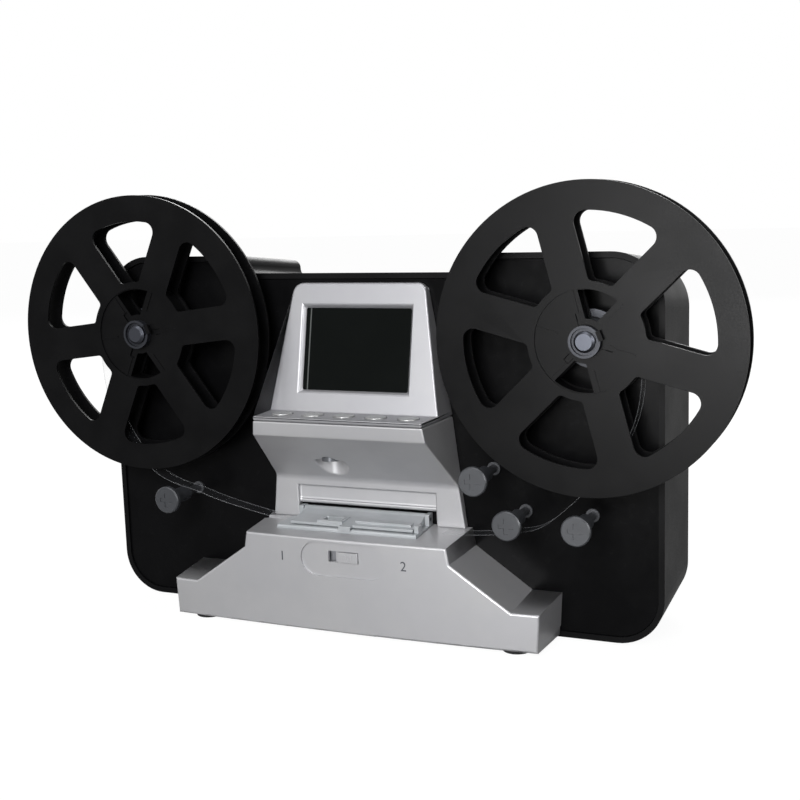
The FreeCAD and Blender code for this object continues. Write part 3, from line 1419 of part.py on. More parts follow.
def sector(sketch, inner, outer, inner_angle, outer_angle, middle):
    """Draws a ring sector whose corners stand at the given angles beside its middle."""
    first = sketch.GeometryCount
    corners = []
    for radius, angle in ((inner, inner_angle), (outer, outer_angle)):
        pair = []
        for sign in ("-", "+"):
            turn = f"({middle} {sign} {angle})"
            pair.append((f"{radius} * cos({turn})", f"{radius} * sin({turn})"))
        corners.append(pair)
    (inner_start, inner_end), (outer_start, outer_end) = corners
    points = [
        FreeCAD.Vector(value(across), value(up), 0)
        for across, up in (inner_start, outer_start, outer_end, inner_end)
    ]
    centre = FreeCAD.Vector()
    axis = FreeCAD.Vector(0, 0, 1)
    outer_circle = Part.Circle(centre, axis, value(outer))
    inner_circle = Part.Circle(centre, axis, value(inner))
    sketch.addGeometry(Part.LineSegment(points[0], points[1]), False)
    start, end = outer_circle.parameter(points[1]), outer_circle.parameter(points[2])
    sketch.addGeometry(Part.ArcOfCircle(outer_circle, start, end), False)
    sketch.addGeometry(Part.LineSegment(points[2], points[3]), False)
    start, end = inner_circle.parameter(points[0]), inner_circle.parameter(points[3])
    sketch.addGeometry(Part.ArcOfCircle(inner_circle, start, end), False)
    joins = ((0, 2, 1, 1), (1, 2, 2, 1), (2, 2, 3, 2), (3, 1, 0, 1))
    for geometry, end, following, start in joins:
        sketch.addConstraint(
            Sketcher.Constraint("Coincident", first + geometry, end, first + following, start)
        )
    fix_point(sketch, first, 1, *inner_start)
    fix_point(sketch, first, 2, *outer_start)
    fix_point(sketch, first + 2, 1, *outer_end)
    fix_point(sketch, first + 2, 2, *inner_end)
    for geometry, radius in ((first + 1, outer), (first + 3, inner)):
        constraint = sketch.addConstraint(Sketcher.Constraint("Radius", geometry, value(radius)))
        sketch.setExpression(f"Constraints[{constraint}]", radius)


def make_flange(label, front, recessed):
    """Makes one reel flange with its windows, hub openings and key slots."""
    flange = new_body(label)
    disc = front_sketch(flange, front)
    circle(disc, "Size.reel_radius")
    circle(disc, "Size.reel_bore")
    pad(flange, disc, "Size.flange_thickness", reverse=True)
    window = front_sketch(flange, front)
    pitch = "180 deg / Size.spoke_count"
    angles = [
        f"({pitch} - asin(Size.spoke_width / 2 / {radius}))"
        for radius in ("Size.window_inner", "Size.window_outer")
    ]
    sector(window, "Size.window_inner", "Size.window_outer", *angles, "0 deg")
    repeat_round(flange, pocket(flange, window), "Size.spoke_count")
    for radius, rounding in (("window_outer", "Size.window_outer_round"),
                             ("window_inner", "Size.window_inner_round")):
        edge = value(f"Size.{radius}")
        fillet(flange, find_edges(flange, ALONG_Y, ring=(edge, edge)), rounding)
    if recessed:
        dish = front_sketch(flange, front)
        circle(dish, "Size.hub_recess_radius")
        pocket(flange, dish, "Size.hub_recess_depth")
        line = front_sketch(flange, f"{front} + Size.hub_recess_depth")
        half_line = "Size.hub_line_width / 2"
        line_end = "Size.hub_recess_radius - Size.hole_gap"
        rectangle(line, f"-{half_line}", half_line, "Size.key_radius + Size.hole_gap", line_end)
        repeat_round(flange, pad(flange, line, "Size.hub_line_height"), "Size.spoke_count")
    hub = front_sketch(flange, front)
    inner = "(Size.reel_bore + Size.hub_wall + Size.hole_gap)"
    outer = "(Size.drum_radius - Size.drum_wall - Size.hole_gap)"
    angles = [f"({pitch} - asin(Size.hub_rib / {radius}))" for radius in (inner, outer)]
    sector(hub, inner, outer, *angles, f"(2 * {pitch})")
    repeat_round(flange, pocket(flange, hub), "2")
    key = front_sketch(flange, front)
    half = "Size.key_width / 2"
    rectangle(key, f"-{half}", half, "0", "Size.key_radius")
    repeat_round(flange, pocket(flange, key), "3")
    return keep(flange)


def make_core(label):
    """Makes the film drum between the flanges."""
    core = new_body(label)
    front = f"{REEL_FRONT} + Size.flange_thickness"
    length = "Size.reel_width - 2 * Size.flange_thickness"
    tube = front_sketch(core, front)
    circle(tube, "Size.reel_bore + Size.hub_wall")
    circle(tube, "Size.reel_bore")
    pad(core, tube, length, reverse=True)
    rib = front_sketch(core, front)
    half = "Size.hub_rib / 2"
    rectangle(
        rib,
        f"-{half}",
        half,
        "Size.reel_bore + Size.hub_wall / 2",
        "Size.drum_radius - Size.drum_wall / 2",
    )
    repeat_round(core, pad(core, rib, length, reverse=True), "Size.spoke_count")
    drum = front_sketch(core, front)
    circle(drum, "Size.drum_radius")
    circle(drum, "Size.drum_radius - Size.drum_wall")
    pad(core, drum, length, reverse=True)
    return keep(core)


def make_spindle(label):
    """Makes the steel spindle with its shaft into the motor."""
    tip = at_reach("Size.spindle_reach")
    step = f"{PANEL_Y} - Size.bearing_flange_height - Size.end_gap"
    return turned(
        label,
        [
            ("0", tip),
            ("Size.spindle_radius - Size.spindle_dome", tip),
            ("Size.spindle_radius", f"{tip} + Size.spindle_dome"),
            ("Size.spindle_radius", step),
            ("Size.shaft_radius", step),
            ("Size.shaft_radius", at_depth("Size.shaft_depth")),
            ("0", at_depth("Size.shaft_depth")),
        ],
    )


def make_collar(label):
    """Makes the collar that carries the reel, with a slot for the catch."""
    front = at_reach("Size.collar_reach")
    outer = "Size.reel_bore - Size.collar_gap"
    collar = turned(
        label,
        [
            ("Size.spindle_radius", f"{front} + Size.collar_recess"),
            (f"{outer} - Size.collar_ring", f"{front} + Size.collar_recess"),
            (f"{outer} - Size.collar_ring", front),
            (outer, front),
            (outer, REEL_REAR),
            ("Size.shoulder_radius", REEL_REAR),
            ("Size.shoulder_radius", f"{REEL_REAR} + Size.shoulder_thickness"),
            ("Size.spindle_radius", f"{REEL_REAR} + Size.shoulder_thickness"),
        ],
    )
    slot = side_sketch(collar)
    half = "(Size.catch_width / 2 + Size.catch_gap)"
    rectangle(slot, front, f"{REEL_FRONT} - Size.hole_gap / 2", f"-{half}", half)
    pocket(collar, slot, reverse=True)
    return collar


def make_catch(label):
    """Makes the sliding catch that keeps the reel on its collar."""
    rear = f"{REEL_FRONT} - Size.end_gap"
    return block(
        label,
        "Size.catch_inner",
        "Size.catch_outer",
        f"{rear} - Size.catch_length",
        rear,
        "-Size.catch_width / 2",
        "Size.catch_width / 2",
    )


def make_bearing(label):
    """Makes the flanged bearing of a spindle."""
    bore = "Size.shaft_radius + Size.pin_gap"
    front = f"{PANEL_Y} - Size.bearing_flange_height"
    return turned(
        label,
        [
            (bore, front),
            ("Size.bearing_flange", front),
            ("Size.bearing_flange", PANEL_Y),
            ("Size.bearing_radius", PANEL_Y),
            ("Size.bearing_radius", at_depth(PANEL_INNER)),
            (bore, at_depth(PANEL_INNER)),
        ],
    )


def make_motor(label):
    """Makes the gear motor behind a spindle."""
    bore = "Size.shaft_radius + Size.end_gap"
    front = at_depth(PANEL_INNER)
    gear_end = f"{front} + Size.gearbox_length"
    end = f"{gear_end} + Size.motor_length"
    floor = at_depth("Size.shaft_depth + Size.end_gap")
    return turned(
        label,
        [
            (bore, front),
            ("Size.gearbox_radius", front),
            ("Size.gearbox_radius", gear_end),
            ("Size.motor_radius", gear_end),
            ("Size.motor_radius", end),
            ("0", end),
            ("0", floor),
            (bore, floor),
        ],
    )


def make_reels():
    """Makes both reels with their spindles, collars, catches, bearings and motors."""
    rear_front = f"{REEL_REAR} - Size.flange_thickness"
    for side, (across, turn) in REEL_PLACES.items():
        for body in (
            make_flange(f"{side}_reel_front_flange", REEL_FRONT, True),
            make_flange(f"{side}_reel_rear_flange", rear_front, False),
            make_core(f"{side}_reel_core"),
        ):
            place(body, across, "0", "Size.reel_height", turn)
        for body in (make_collar(f"{side}_spindle_collar"), make_catch(f"{side}_reel_catch")):
            place(keep(body), across, "0", "Size.reel_height", "Size.catch_angle")
        for body in (
            make_spindle(f"{side}_spindle"),
            make_bearing(f"{side}_spindle_bearing"),
            make_motor(f"{side}_gear_motor"),
        ):
            place(keep(body), across, "0", "Size.reel_height")


def make_roller(label):
    """Makes a film guide roller with a cross on its head."""
    front = at_reach("Size.roller_reach")
    bore = "Size.roller_post_radius + Size.pin_gap"
    bore_end = f"{front} + Size.roller_cap"
    rear = at_reach("Size.roller_rear_reach")
    roller = turned(
        label,
        [
            ("0", front),
            ("Size.roller_head_radius - Size.roller_bevel", front),
            ("Size.roller_head_radius", f"{front} + Size.roller_bevel"),
            ("Size.roller_head_radius", f"{front} + Size.roller_head"),
            ("Size.roller_radius", f"{front} + Size.roller_head"),
            ("Size.roller_radius", rear),
            (bore, rear),
            (bore, bore_end),
            ("0", bore_end),
        ],
    )
    cross = front_sketch(roller, front)
    size = "Size.cross_size / 2"
    arm = "Size.cross_arm / 2"
    quarter = [(size, arm), (arm, arm), (arm, size)]
    left = [(f"-{across}", up) for across, up in reversed(quarter)]
    corners = quarter + left
    polygon(cross, corners + [(f"-({across})", f"-{up}") for across, up in corners])
    pocket(roller, cross, "Size.cross_depth")
    return roller


def make_rollers():
    """Makes the four guide rollers and the fixed posts that they turn on."""
    posts = []
    end = f"{at_reach('Size.roller_reach')} + Size.roller_cap + Size.end_gap"
    shoulder = f"{at_reach('Size.roller_rear_reach')} + Size.end_gap"
    wide = "Size.roller_radius - Size.roller_bevel"
    for label, (across, up) in ROLLERS.items():
        place(keep(make_roller(label)), across, "0", up)
        post = turned(
            "roller_post",
            [
                ("0", end),
                ("Size.roller_post_radius", end),
                ("Size.roller_post_radius", shoulder),
                (wide, shoulder),
                (wide, f"{shoulder} + Size.post_collar"),
                ("Size.roller_post_radius", f"{shoulder} + Size.post_collar"),
                ("Size.roller_post_radius", f"{PANEL_Y} - Size.post_collar"),
                (wide, f"{PANEL_Y} - Size.post_collar"),
                (wide, PANEL_Y),
                ("Size.roller_post_radius", PANEL_Y),
                ("Size.roller_post_radius", at_depth(BOSS_END)),
                ("0", at_depth(BOSS_END)),
            ],
        )
        place(post, across, "0", up)
        posts.append(post)
    compound("roller_posts", posts)


# Electronics and feet
def make_main_board():
    """Makes the main board and the three connectors on its rear."""
    board = block(
        "main_board",
        "-Size.main_board_width / 2",
        "Size.main_board_width / 2",
        at_depth(f"{BOARD_REAR} - Size.board_thickness"),
        at_depth(BOARD_REAR),
        "Size.main_board_bottom",
        "Size.main_board_top",
    )
    keep(board)
    for label, (across, width, high) in CONNECTORS.items():
        half_width = f"({width}) / 2"
        half_high = f"({high}) / 2"
        socket = block(
            label,
            f"{across} - {half_width}",
            f"{across} + {half_width}",
            at_depth(BOARD_REAR),
            at_depth("Size.housing_depth - Size.end_gap"),
            f"Size.port_height - {half_high}",
            f"Size.port_height + {half_high}",
        )
        mouth = front_sketch(socket, at_depth("Size.housing_depth"))
        if label == "tv_jack":
            circle(mouth, "Size.jack_radius", across, "Size.port_height")
        else:
            wall = "Size.socket_wall"
            rectangle(
                mouth,
                f"{across} - {half_width} + {wall}",
                f"{across} + {half_width} - {wall}",
                f"Size.port_height - {half_high} + {wall}",
                f"Size.port_height + {half_high} - {wall}",
            )
        pocket(socket, mouth, "Size.standoff", reverse=True)
        keep(socket)


def make_feet():
    """Makes the four rubber feet."""
    feet = []
    for side in ("", "-"):
        front = rod("foot", "Size.foot_radius", "0", "Size.base_floor + Size.foot_sink", upright=True)
        place(front, f"{side}Size.front_foot_x", at_reach("Size.front_foot_reach"), "0")
        rear = rod("foot", "Size.foot_radius", "0", foot_top("Size.rear_foot_depth"), upright=True)
        place(rear, f"{side}Size.rear_foot_x", at_depth("Size.rear_foot_depth"), "0")
        feet.extend((front, rear))
    compound("rubber_feet", feet)


make_rear_housing()
make_screws()
make_front_panel()
finish_base_cover(light_studs(make_base_cover()))
make_screen_cover()
make_tower_cover()
make_screen()
make_buttons()
make_camera()
make_film_bed()
make_gate()
make_claw()
make_light()
make_switch()
make_reels()
make_rollers()
make_main_board()
make_feet()


# Export
doc.recompute()
for item in doc.Objects:
    if "Invalid" in item.State or "Error" in item.State:
        raise ValueError(f"{item.Label} {item.Name} is {item.State}")
os.makedirs("parts", exist_ok=True)
for item in PARTS:
    shape = item.Shape
    if shape.isNull() or not shape.isValid():
        raise ValueError(f"{item.Label} has no valid shape")
    shape.exportStep(f"parts/{item.Label}.step")
    print(item.Label, len(shape.Solids), round(shape.Volume), shape.BoundBox)
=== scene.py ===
"""Looks of the film scanner: finishes for every piece, fitted details, studio and camera."""

import json
import logging
import math
from dataclasses import dataclass
from enum import Enum
from typing import Iterable, Mapping, Optional, Sequence, Union

import bmesh
import bpy
from mathutils import Matrix, Vector
from mathutils.bvhtree import BVHTree

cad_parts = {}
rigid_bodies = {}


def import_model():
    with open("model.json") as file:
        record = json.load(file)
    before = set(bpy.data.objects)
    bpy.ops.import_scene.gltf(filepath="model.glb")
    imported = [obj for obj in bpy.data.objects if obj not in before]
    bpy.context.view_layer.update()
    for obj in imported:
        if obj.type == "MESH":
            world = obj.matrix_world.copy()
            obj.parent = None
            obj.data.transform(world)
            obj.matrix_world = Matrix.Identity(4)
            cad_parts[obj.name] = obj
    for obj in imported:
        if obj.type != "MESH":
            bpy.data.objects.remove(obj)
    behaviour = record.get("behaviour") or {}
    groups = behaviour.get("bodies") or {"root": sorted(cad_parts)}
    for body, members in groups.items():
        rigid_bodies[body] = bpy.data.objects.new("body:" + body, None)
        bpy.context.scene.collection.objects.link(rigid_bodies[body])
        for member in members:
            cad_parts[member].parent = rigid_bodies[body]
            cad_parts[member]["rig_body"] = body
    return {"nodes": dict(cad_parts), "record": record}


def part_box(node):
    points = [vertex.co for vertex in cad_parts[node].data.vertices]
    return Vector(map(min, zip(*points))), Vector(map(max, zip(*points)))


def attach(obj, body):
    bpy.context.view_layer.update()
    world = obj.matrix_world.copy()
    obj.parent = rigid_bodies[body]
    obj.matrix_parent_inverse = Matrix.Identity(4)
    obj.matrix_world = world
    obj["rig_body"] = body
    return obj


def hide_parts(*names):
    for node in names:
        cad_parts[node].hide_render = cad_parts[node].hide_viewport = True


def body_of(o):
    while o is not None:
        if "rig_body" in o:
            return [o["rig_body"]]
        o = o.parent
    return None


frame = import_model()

LOG = logging.getLogger("film_scanner")
Colour = tuple[float, float, float]
Place = tuple[float, float, float]
Number = Union[float, "Signal"]
Feed = Union[float, Sequence[float], "Signal"]

MM = 0.001
WHITE = (1.0, 1.0, 1.0, 1.0)
MIDDLE_OF_NOISE = (0.35, 0.65)
MOST_OF_NOISE = (0.3, 0.7)


def linear(red: int, green: int, blue: int) -> Colour:
    """Turns a display colour into the linear colour that a shader takes.

    Args:
        red: Red from 0 to 255.
        green: Green from 0 to 255.
        blue: Blue from 0 to 255.

    Returns:
        The same colour as three linear numbers.
    """
    shares = (channel / 255 for channel in (red, green, blue))
    return tuple(
        share / 12.92 if share <= 0.04045 else ((share + 0.055) / 1.055) ** 2.4
        for share in shares
    )


class Signal:
    """An output socket that can be calculated with; every operator adds one node."""

    def __init__(self, graph: "NodeGraph", socket: bpy.types.NodeSocket) -> None:
        """Wraps a socket.

        Args:
            graph: The graph that holds the socket.
            socket: The output socket.
        """
        self.graph = graph
        self.socket = socket

    def _math(self, operation: str, *others: Number) -> "Signal":
        """Adds a math node that starts with this signal.

        Args:
            operation: The node's operation.
            others: The further operands, as numbers or signals.

        Returns:
            The node's result.
        """
        operands = dict(enumerate((self, *others)))
        return self.graph.signal("ShaderNodeMath", {"operation": operation}, operands)

    def __add__(self, other: Number) -> "Signal":
        """Adds a number or a signal."""
        return self._math("ADD", other)

    def __radd__(self, other: float) -> "Signal":
        """Adds the signal to a number."""
        return self._math("ADD", other)

    def __sub__(self, other: Number) -> "Signal":
        """Takes a number or a signal away."""
        return self._math("SUBTRACT", other)

    def __rsub__(self, other: float) -> "Signal":
        """Takes the signal away from a number."""
        return self * -1.0 + other

    def __mul__(self, other: Number) -> "Signal":
        """Multiplies by a number or a signal."""
        return self._math("MULTIPLY", other)

    def __rmul__(self, other: float) -> "Signal":
        """Multiplies a number by the signal."""
        return self._math("MULTIPLY", other)

    def __gt__(self, other: Number) -> "Signal":
        """Gives 1 where the signal is larger, and 0 elsewhere."""
        return self._math("GREATER_THAN", other)

    def __lt__(self, other: Number) -> "Signal":
        """Gives 1 where the signal is smaller, and 0 elsewhere."""
        return self._math("LESS_THAN", other)

    def __abs__(self) -> "Signal":
        """Drops the sign."""
        return self._math("ABSOLUTE")

    def sine(self) -> "Signal":
        """Gives the sine of the signal in radians."""
        return self._math("SINE")

    def spread(self, span: tuple[float, float], low: float, high: float) -> "Signal":
        """Maps a span of the signal smoothly onto another range.

        Args:
            span: Start and end of the span.
            low: Result at its start.
            high: Result at its end.

        Returns:
            The mapped signal, held within the new range.
        """
        limits = {"From Min": span[0], "From Max": span[1], "To Min": low, "To Max": high}
        return self.graph.signal(
            "ShaderNodeMapRange",
            {"interpolation_type": "SMOOTHSTEP"},
            {"Value": self, **limits},
            "Result",
        )


class NodeGraph:
    """A node tree to which every node is added in the same way."""

    def __init__(self, tree: bpy.types.NodeTree) -> None:
        """Takes over a node tree and clears it.

        Args:
            tree: The node tree.
        """
        self.tree = tree
        tree.nodes.clear()

    def join(self, target: bpy.types.NodeSocket, amount: Feed) -> None:
        """Gives an input socket its value or its link.

        Args:
            target: The input socket.
            amount: A value or a signal.
        """
        if isinstance(amount, Signal):
            self.tree.links.new(amount.socket, target)
        else:
            target.default_value = amount

    def node(
        self,
        kind: str,
        settings: Optional[Mapping[str, object]] = None,
        sockets: Optional[Mapping[Union[int, str], Feed]] = None,
    ) -> bpy.types.Node:
        """Adds one node.

        Args:
            kind: The node's type.
            settings: Its settings by name, which are set first.
            sockets: Values or signals by the name or number of the input.

        Returns:
            The new node.
        """
        node = self.tree.nodes.new(kind)
        for name, choice in (settings or {}).items():
            setattr(node, name, choice)
        for key, amount in (sockets or {}).items():
            self.join(node.inputs[key], amount)
        return node

    def signal(
        self,
        kind: str,
        settings: Optional[Mapping[str, object]] = None,
        sockets: Optional[Mapping[Union[int, str], Feed]] = None,
        result: Union[int, str] = 0,
    ) -> Signal:
        """Adds one node and takes one of its outputs.

        Args:
            kind: The node's type.
            settings: Its settings by name.
            sockets: Values or signals by the name or number of the input.
            result: The name or number of the output that is wanted.

        Returns:
            The wanted output.
        """
        return Signal(self, self.node(kind, settings, sockets).outputs[result])


class Shader:
    """One material with a principled shader and the nodes that feed it."""

    def __init__(self, name: str) -> None:
        """Starts an empty material.

        Args:
            name: The material's name.
        """
        self.material = bpy.data.materials.new(name)
        self.material.use_nodes = True
        self.graph = NodeGraph(self.material.node_tree)
        self.surface = self.graph.node("ShaderNodeBsdfPrincipled")
        self._output = self.graph.node("ShaderNodeOutputMaterial")
        self._coordinates: Optional[Signal] = None
        self.show(self.bare())

    def bare(self) -> Signal:
        """Gives the principled shader's own output."""
        return Signal(self.graph, self.surface.outputs[0])

    def show(self, surface: Signal) -> None:
        """Makes an output the surface of the material.

        Args:
            surface: The output of a shader node.
        """
        self.graph.join(self._output.inputs["Surface"], surface)

    def place(self) -> Signal:
        """Gives the point's place in the object's own coordinates, in metres."""
        if self._coordinates is None:
            self._coordinates = self.graph.signal("ShaderNodeTexCoord", result="Object")
        return self._coordinates

    def axes(self) -> tuple[Signal, Signal, Signal]:
        """Gives the three coordinates of the point's place."""
        split = self.graph.node("ShaderNodeSeparateXYZ", sockets={0: self.place()})
        return tuple(Signal(self.graph, output) for output in split.outputs)

    def noise(self, size: float, layers: float = 3.0) -> Signal:
        """Adds a cloudy pattern.

        Args:
            size: Size of one cloud in metres.
            layers: Number of finer layers.

        Returns:
            The pattern, from 0 to 1.
        """
        return self.graph.signal(
            "ShaderNodeTexNoise",
            sockets={"Vector": self.place(), "Scale": 1 / size, "Detail": layers},
            result="Fac",
        )

    def feed(self, name: str, amount: Feed) -> None:
        """Sets one input of the principled shader.

        Args:
            name: The input's name.
            amount: A value or a signal.
        """
        self.graph.join(self.surface.inputs[name], amount)

    def blend_colours(self, share: Signal, first: Colour, second: Colour) -> Signal:
        """Mixes two colours.

        Args:
            share: Share of the second colour.
            first: The first colour.
            second: The second colour.

        Returns:
            The mixed colour.
        """
        return self.graph.signal(
            "ShaderNodeMix",
            {"data_type": "RGBA"},
            {"Factor": share, "A": (*first, 1), "B": (*second, 1)},
            "Result",
        )

    def raise_relief(self, height: Signal, depth: float) -> None:
        """Feeds the shader's normal with a relief.

        Args:
            height: The relief from 0 to 1.
            depth: Its real depth in metres.
        """
        sockets = {"Height": height, "Distance": depth, "Strength": 1.0}
        self.feed("Normal", self.graph.signal("ShaderNodeBump", None, sockets, "Normal"))


@dataclass(frozen=True)
class Finish:
    """What a surface is made of.

    Attributes:
        colour: Main colour, linear.
        shade: Second colour, for soft variation.
        roughness: Smallest roughness.
        unevenness: How much the roughness varies.
        metallic: Share of metal.
        specular: Strength of the reflection of a plastic.
        coat: Weight of a clear coat.
        coat_roughness: Roughness of the clear coat.
        grain: Size of the surface grain in metres.
        grain_layers: Number of finer layers in the grain.
        relief: Depth of the grain in metres.
        cloud: Size of the colour variation in metres.
        flakes: Share of bright metal flakes in the paint.
        flake_level: How much of the noise makes no flake.
        turned: Whether lathe rings run round an axis along Y.
        ring_pitch: Distance from ring to ring in metres.
        ring_share: Share of the rings in the relief.
        ring_grain: Share of the grain in the relief of a turned piece.
    """

    colour: Colour
    shade: Colour
    roughness: float
    unevenness: float = 0.08
    metallic: float = 0.0
    specular: float = 0.5
    coat: float = 0.0
    coat_roughness: float = 0.05
    grain: float = 0.6 * MM
    grain_layers: float = 2.0
    relief: float = 0.02 * MM
    cloud: float = 20.0 * MM
    flakes: float = 0.0
    flake_level: float = 0.64
    turned: bool = False
    ring_pitch: float = 0.2 * MM
    ring_share: float = 0.3
    ring_grain: float = 0.4

    def material(self, name: str) -> bpy.types.Material:
        """Builds the nodes of the finish.

        Args:
            name: The material's name.

        Returns:
            The new material.
        """
        shader = Shader(name)
        cloud = shader.noise(self.cloud)
        grain = shader.noise(self.grain, self.grain_layers)
        share = self._flaked(shader, cloud.spread(MIDDLE_OF_NOISE, 0.0, 1.0))
        shader.feed("Base Color", shader.blend_colours(share, self.colour, self.shade))
        uneven = cloud * 0.5 + grain * 0.5
        dullest = self.roughness + self.unevenness
        shader.feed("Roughness", uneven.spread(MIDDLE_OF_NOISE, self.roughness, dullest))
        shader.feed("Metallic", self.metallic)
        shader.feed("Specular IOR Level", self.specular)
        shader.feed("Coat Weight", self.coat)
        shader.feed("Coat Roughness", self.coat_roughness)
        shader.raise_relief(self._ringed(shader, grain), self.relief)
        return shader.material

    def _flaked(self, shader: Shader, share: Signal) -> Signal:
        """Sprinkles flakes over the share of the second colour.

        Args:
            shader: The material's shader.
            share: The share without flakes.

        Returns:
            The share with flakes, where the finish has them.
        """
        if not self.flakes:
            return share
        flakes = shader.noise(self.grain / 2, 0.0) > self.flake_level
        return share * (1 - self.flakes) + flakes * self.flakes

    def _ringed(self, shader: Shader, grain: Signal) -> Signal:
        """Adds lathe rings to the grain.

        Args:
            shader: The material's shader.
            grain: The grain.

        Returns:
            The relief, which is the bare grain where the finish isn't turned.
        """
        if not self.turned:
            return grain
        _, along, _ = shader.axes()
        rings = (along * (math.tau / self.ring_pitch)).sine()
        return grain * self.ring_grain + rings * self.ring_share


class Look(Enum):
    """The finishes of the scanner."""

    GLOSS_PANEL = Finish(
        colour=linear(11, 11, 12),
        shade=linear(14, 14, 15),
        roughness=0.22,
        unevenness=0.06,
        specular=0.05,
        grain=4.0 * MM,
        relief=0.004 * MM,
    )
    BLACK_SHELL = Finish(
        colour=linear(13, 13, 14),
        shade=linear(17, 17, 18),
        roughness=0.36,
        specular=0.06,
        grain=0.5 * MM,
        relief=0.01 * MM,
    )
    SILVER = Finish(
        colour=linear(180, 180, 182),
        shade=linear(172, 172, 175),
        roughness=0.34,
        metallic=0.4,
        grain=0.4 * MM,
        relief=0.012 * MM,
        cloud=30.0 * MM,
        flakes=0.12,
    )
    # A darker copy of the silver for the screen frame. It is painted shade that keeps the
    # leaning tower face from rendering brighter than the base front.
    FRAME = Finish(
        colour=linear(162, 162, 165),
        shade=linear(154, 154, 158),
        roughness=0.34,
        metallic=0.4,
        grain=0.4 * MM,
        relief=0.012 * MM,
        cloud=30.0 * MM,
        flakes=0.12,
    )
    GATE = Finish(
        colour=linear(176, 179, 182),
        shade=linear(166, 170, 173),
        roughness=0.3,
        metallic=0.3,
        grain=0.5 * MM,
        relief=0.008 * MM,
    )
    REEL = Finish(
        colour=linear(8, 8, 9),
        shade=linear(12, 12, 13),
        roughness=0.32,
        specular=0.08,
        grain=0.7 * MM,
        cloud=18.0 * MM,
    )
    ROLLER = Finish(
        colour=linear(66, 68, 72),
        shade=linear(56, 58, 62),
        roughness=0.36,
        unevenness=0.1,
        metallic=0.2,
        grain=0.4 * MM,
    )
    BUTTON = Finish(
        colour=linear(176, 177, 176),
        shade=linear(166, 167, 167),
        roughness=0.26,
        unevenness=0.06,
        metallic=0.4,
        grain=0.3 * MM,
    )
    STEEL = Finish(
        colour=linear(88, 90, 96),
        shade=linear(66, 68, 74),
        roughness=0.28,
        unevenness=0.12,
        metallic=1.0,
        grain=0.25 * MM,
        relief=0.006 * MM,
        turned=True,
    )
    DULL_STEEL = Finish(
        colour=linear(86, 87, 90),
        shade=linear(70, 71, 74),
        roughness=0.4,
        unevenness=0.12,
        metallic=0.8,
        grain=0.3 * MM,
    )
    COLLAR = Finish(
        colour=linear(44, 46, 52),
        shade=linear(36, 38, 44),
        roughness=0.34,
        unevenness=0.1,
        metallic=0.5,
        grain=0.4 * MM,
    )
    PLATED = Finish(
        colour=linear(150, 151, 155),
        shade=linear(128, 129, 133),
        roughness=0.34,
        unevenness=0.12,
        metallic=1.0,
        grain=0.4 * MM,
    )
    BRONZE = Finish(
        colour=linear(164, 128, 78),
        shade=linear(140, 106, 62),
        roughness=0.4,
        unevenness=0.1,
        metallic=1.0,
        grain=0.3 * MM,
    )
    SCREEN = Finish(
        colour=linear(9, 12, 11),
        shade=linear(12, 15, 14),
        roughness=0.12,
        unevenness=0.04,
        specular=0.05,
        grain=10.0 * MM,
        relief=0.001 * MM,
    )
    BOARD = Finish(
        colour=linear(18, 74, 46),
        shade=linear(12, 56, 36),
        roughness=0.3,
        unevenness=0.15,
        coat=0.3,
        grain=2.0 * MM,
    )
    MILKY = Finish(
        colour=linear(214, 217, 215),
        shade=linear(204, 207, 206),
        roughness=0.35,
        grain=0.8 * MM,
    )
    RUBBER = Finish(
        colour=linear(24, 24, 25),
        shade=linear(31, 31, 32),
        roughness=0.75,
        unevenness=0.1,
        specular=0.3,
        relief=0.03 * MM,
    )
    LENS = Finish(
        colour=linear(92, 94, 98),
        shade=linear(80, 82, 86),
        roughness=0.3,
        metallic=0.5,
        grain=0.4 * MM,
    )
    INK = Finish(
        colour=linear(58, 60, 66),
        shade=linear(66, 68, 74),
        roughness=0.5,
        grain=0.3 * MM,
    )


@dataclass(frozen=True)
class ClearFilm:
    """The finish of the clear leader, which shows most at its two cut edges, where a lighter
    colour is painted as a highlight for the light that they catch.

    Attributes:
        middle: Place of the middle of the film along Y, in metres.
        half_width: Half of its width in metres.
        edge: Width of the painted highlight at each edge in metres.
        colour: Colour between the edges, linear.
        edge_colour: Colour of the painted highlight on the edges, linear.
        roughness: Smallest and largest roughness.
        alpha: Smallest and largest opacity between the edges.
        edge_alpha: How much more opaque the edges are.
        cloud: Size of the variation in metres.
        relief: Depth of the unevenness in metres.
    """

    middle: float
    half_width: float
    edge: float
    colour: Colour = linear(90, 92, 96)
    # Painted highlight: the lighter colour of the cut edges stands in for the light that they
    # catch.
    edge_colour: Colour = linear(176, 178, 182)
    roughness: tuple[float, float] = (0.12, 0.22)
    alpha: tuple[float, float] = (0.04, 0.08)
    edge_alpha: float = 0.15
    cloud: float = 12.0 * MM
    relief: float = 0.03 * MM

    def material(self) -> bpy.types.Material:
        """Builds the nodes of the finish and gives its material."""
        shader = Shader("clear_film")
        cloud = shader.noise(self.cloud)
        _, across, _ = shader.axes()
        # The band along both cut edges, which carries the painted highlight.
        highlighted_edge = abs(across - self.middle) > self.half_width - self.edge
        shader.feed("Base Color", shader.blend_colours(highlighted_edge, self.colour, self.edge_colour))
        shader.feed("Roughness", cloud.spread(MOST_OF_NOISE, *self.roughness))
        shader.feed("Alpha", highlighted_edge * self.edge_alpha + cloud.spread(MOST_OF_NOISE, *self.alpha))
        shader.raise_relief(cloud, self.relief)
        return shader.material


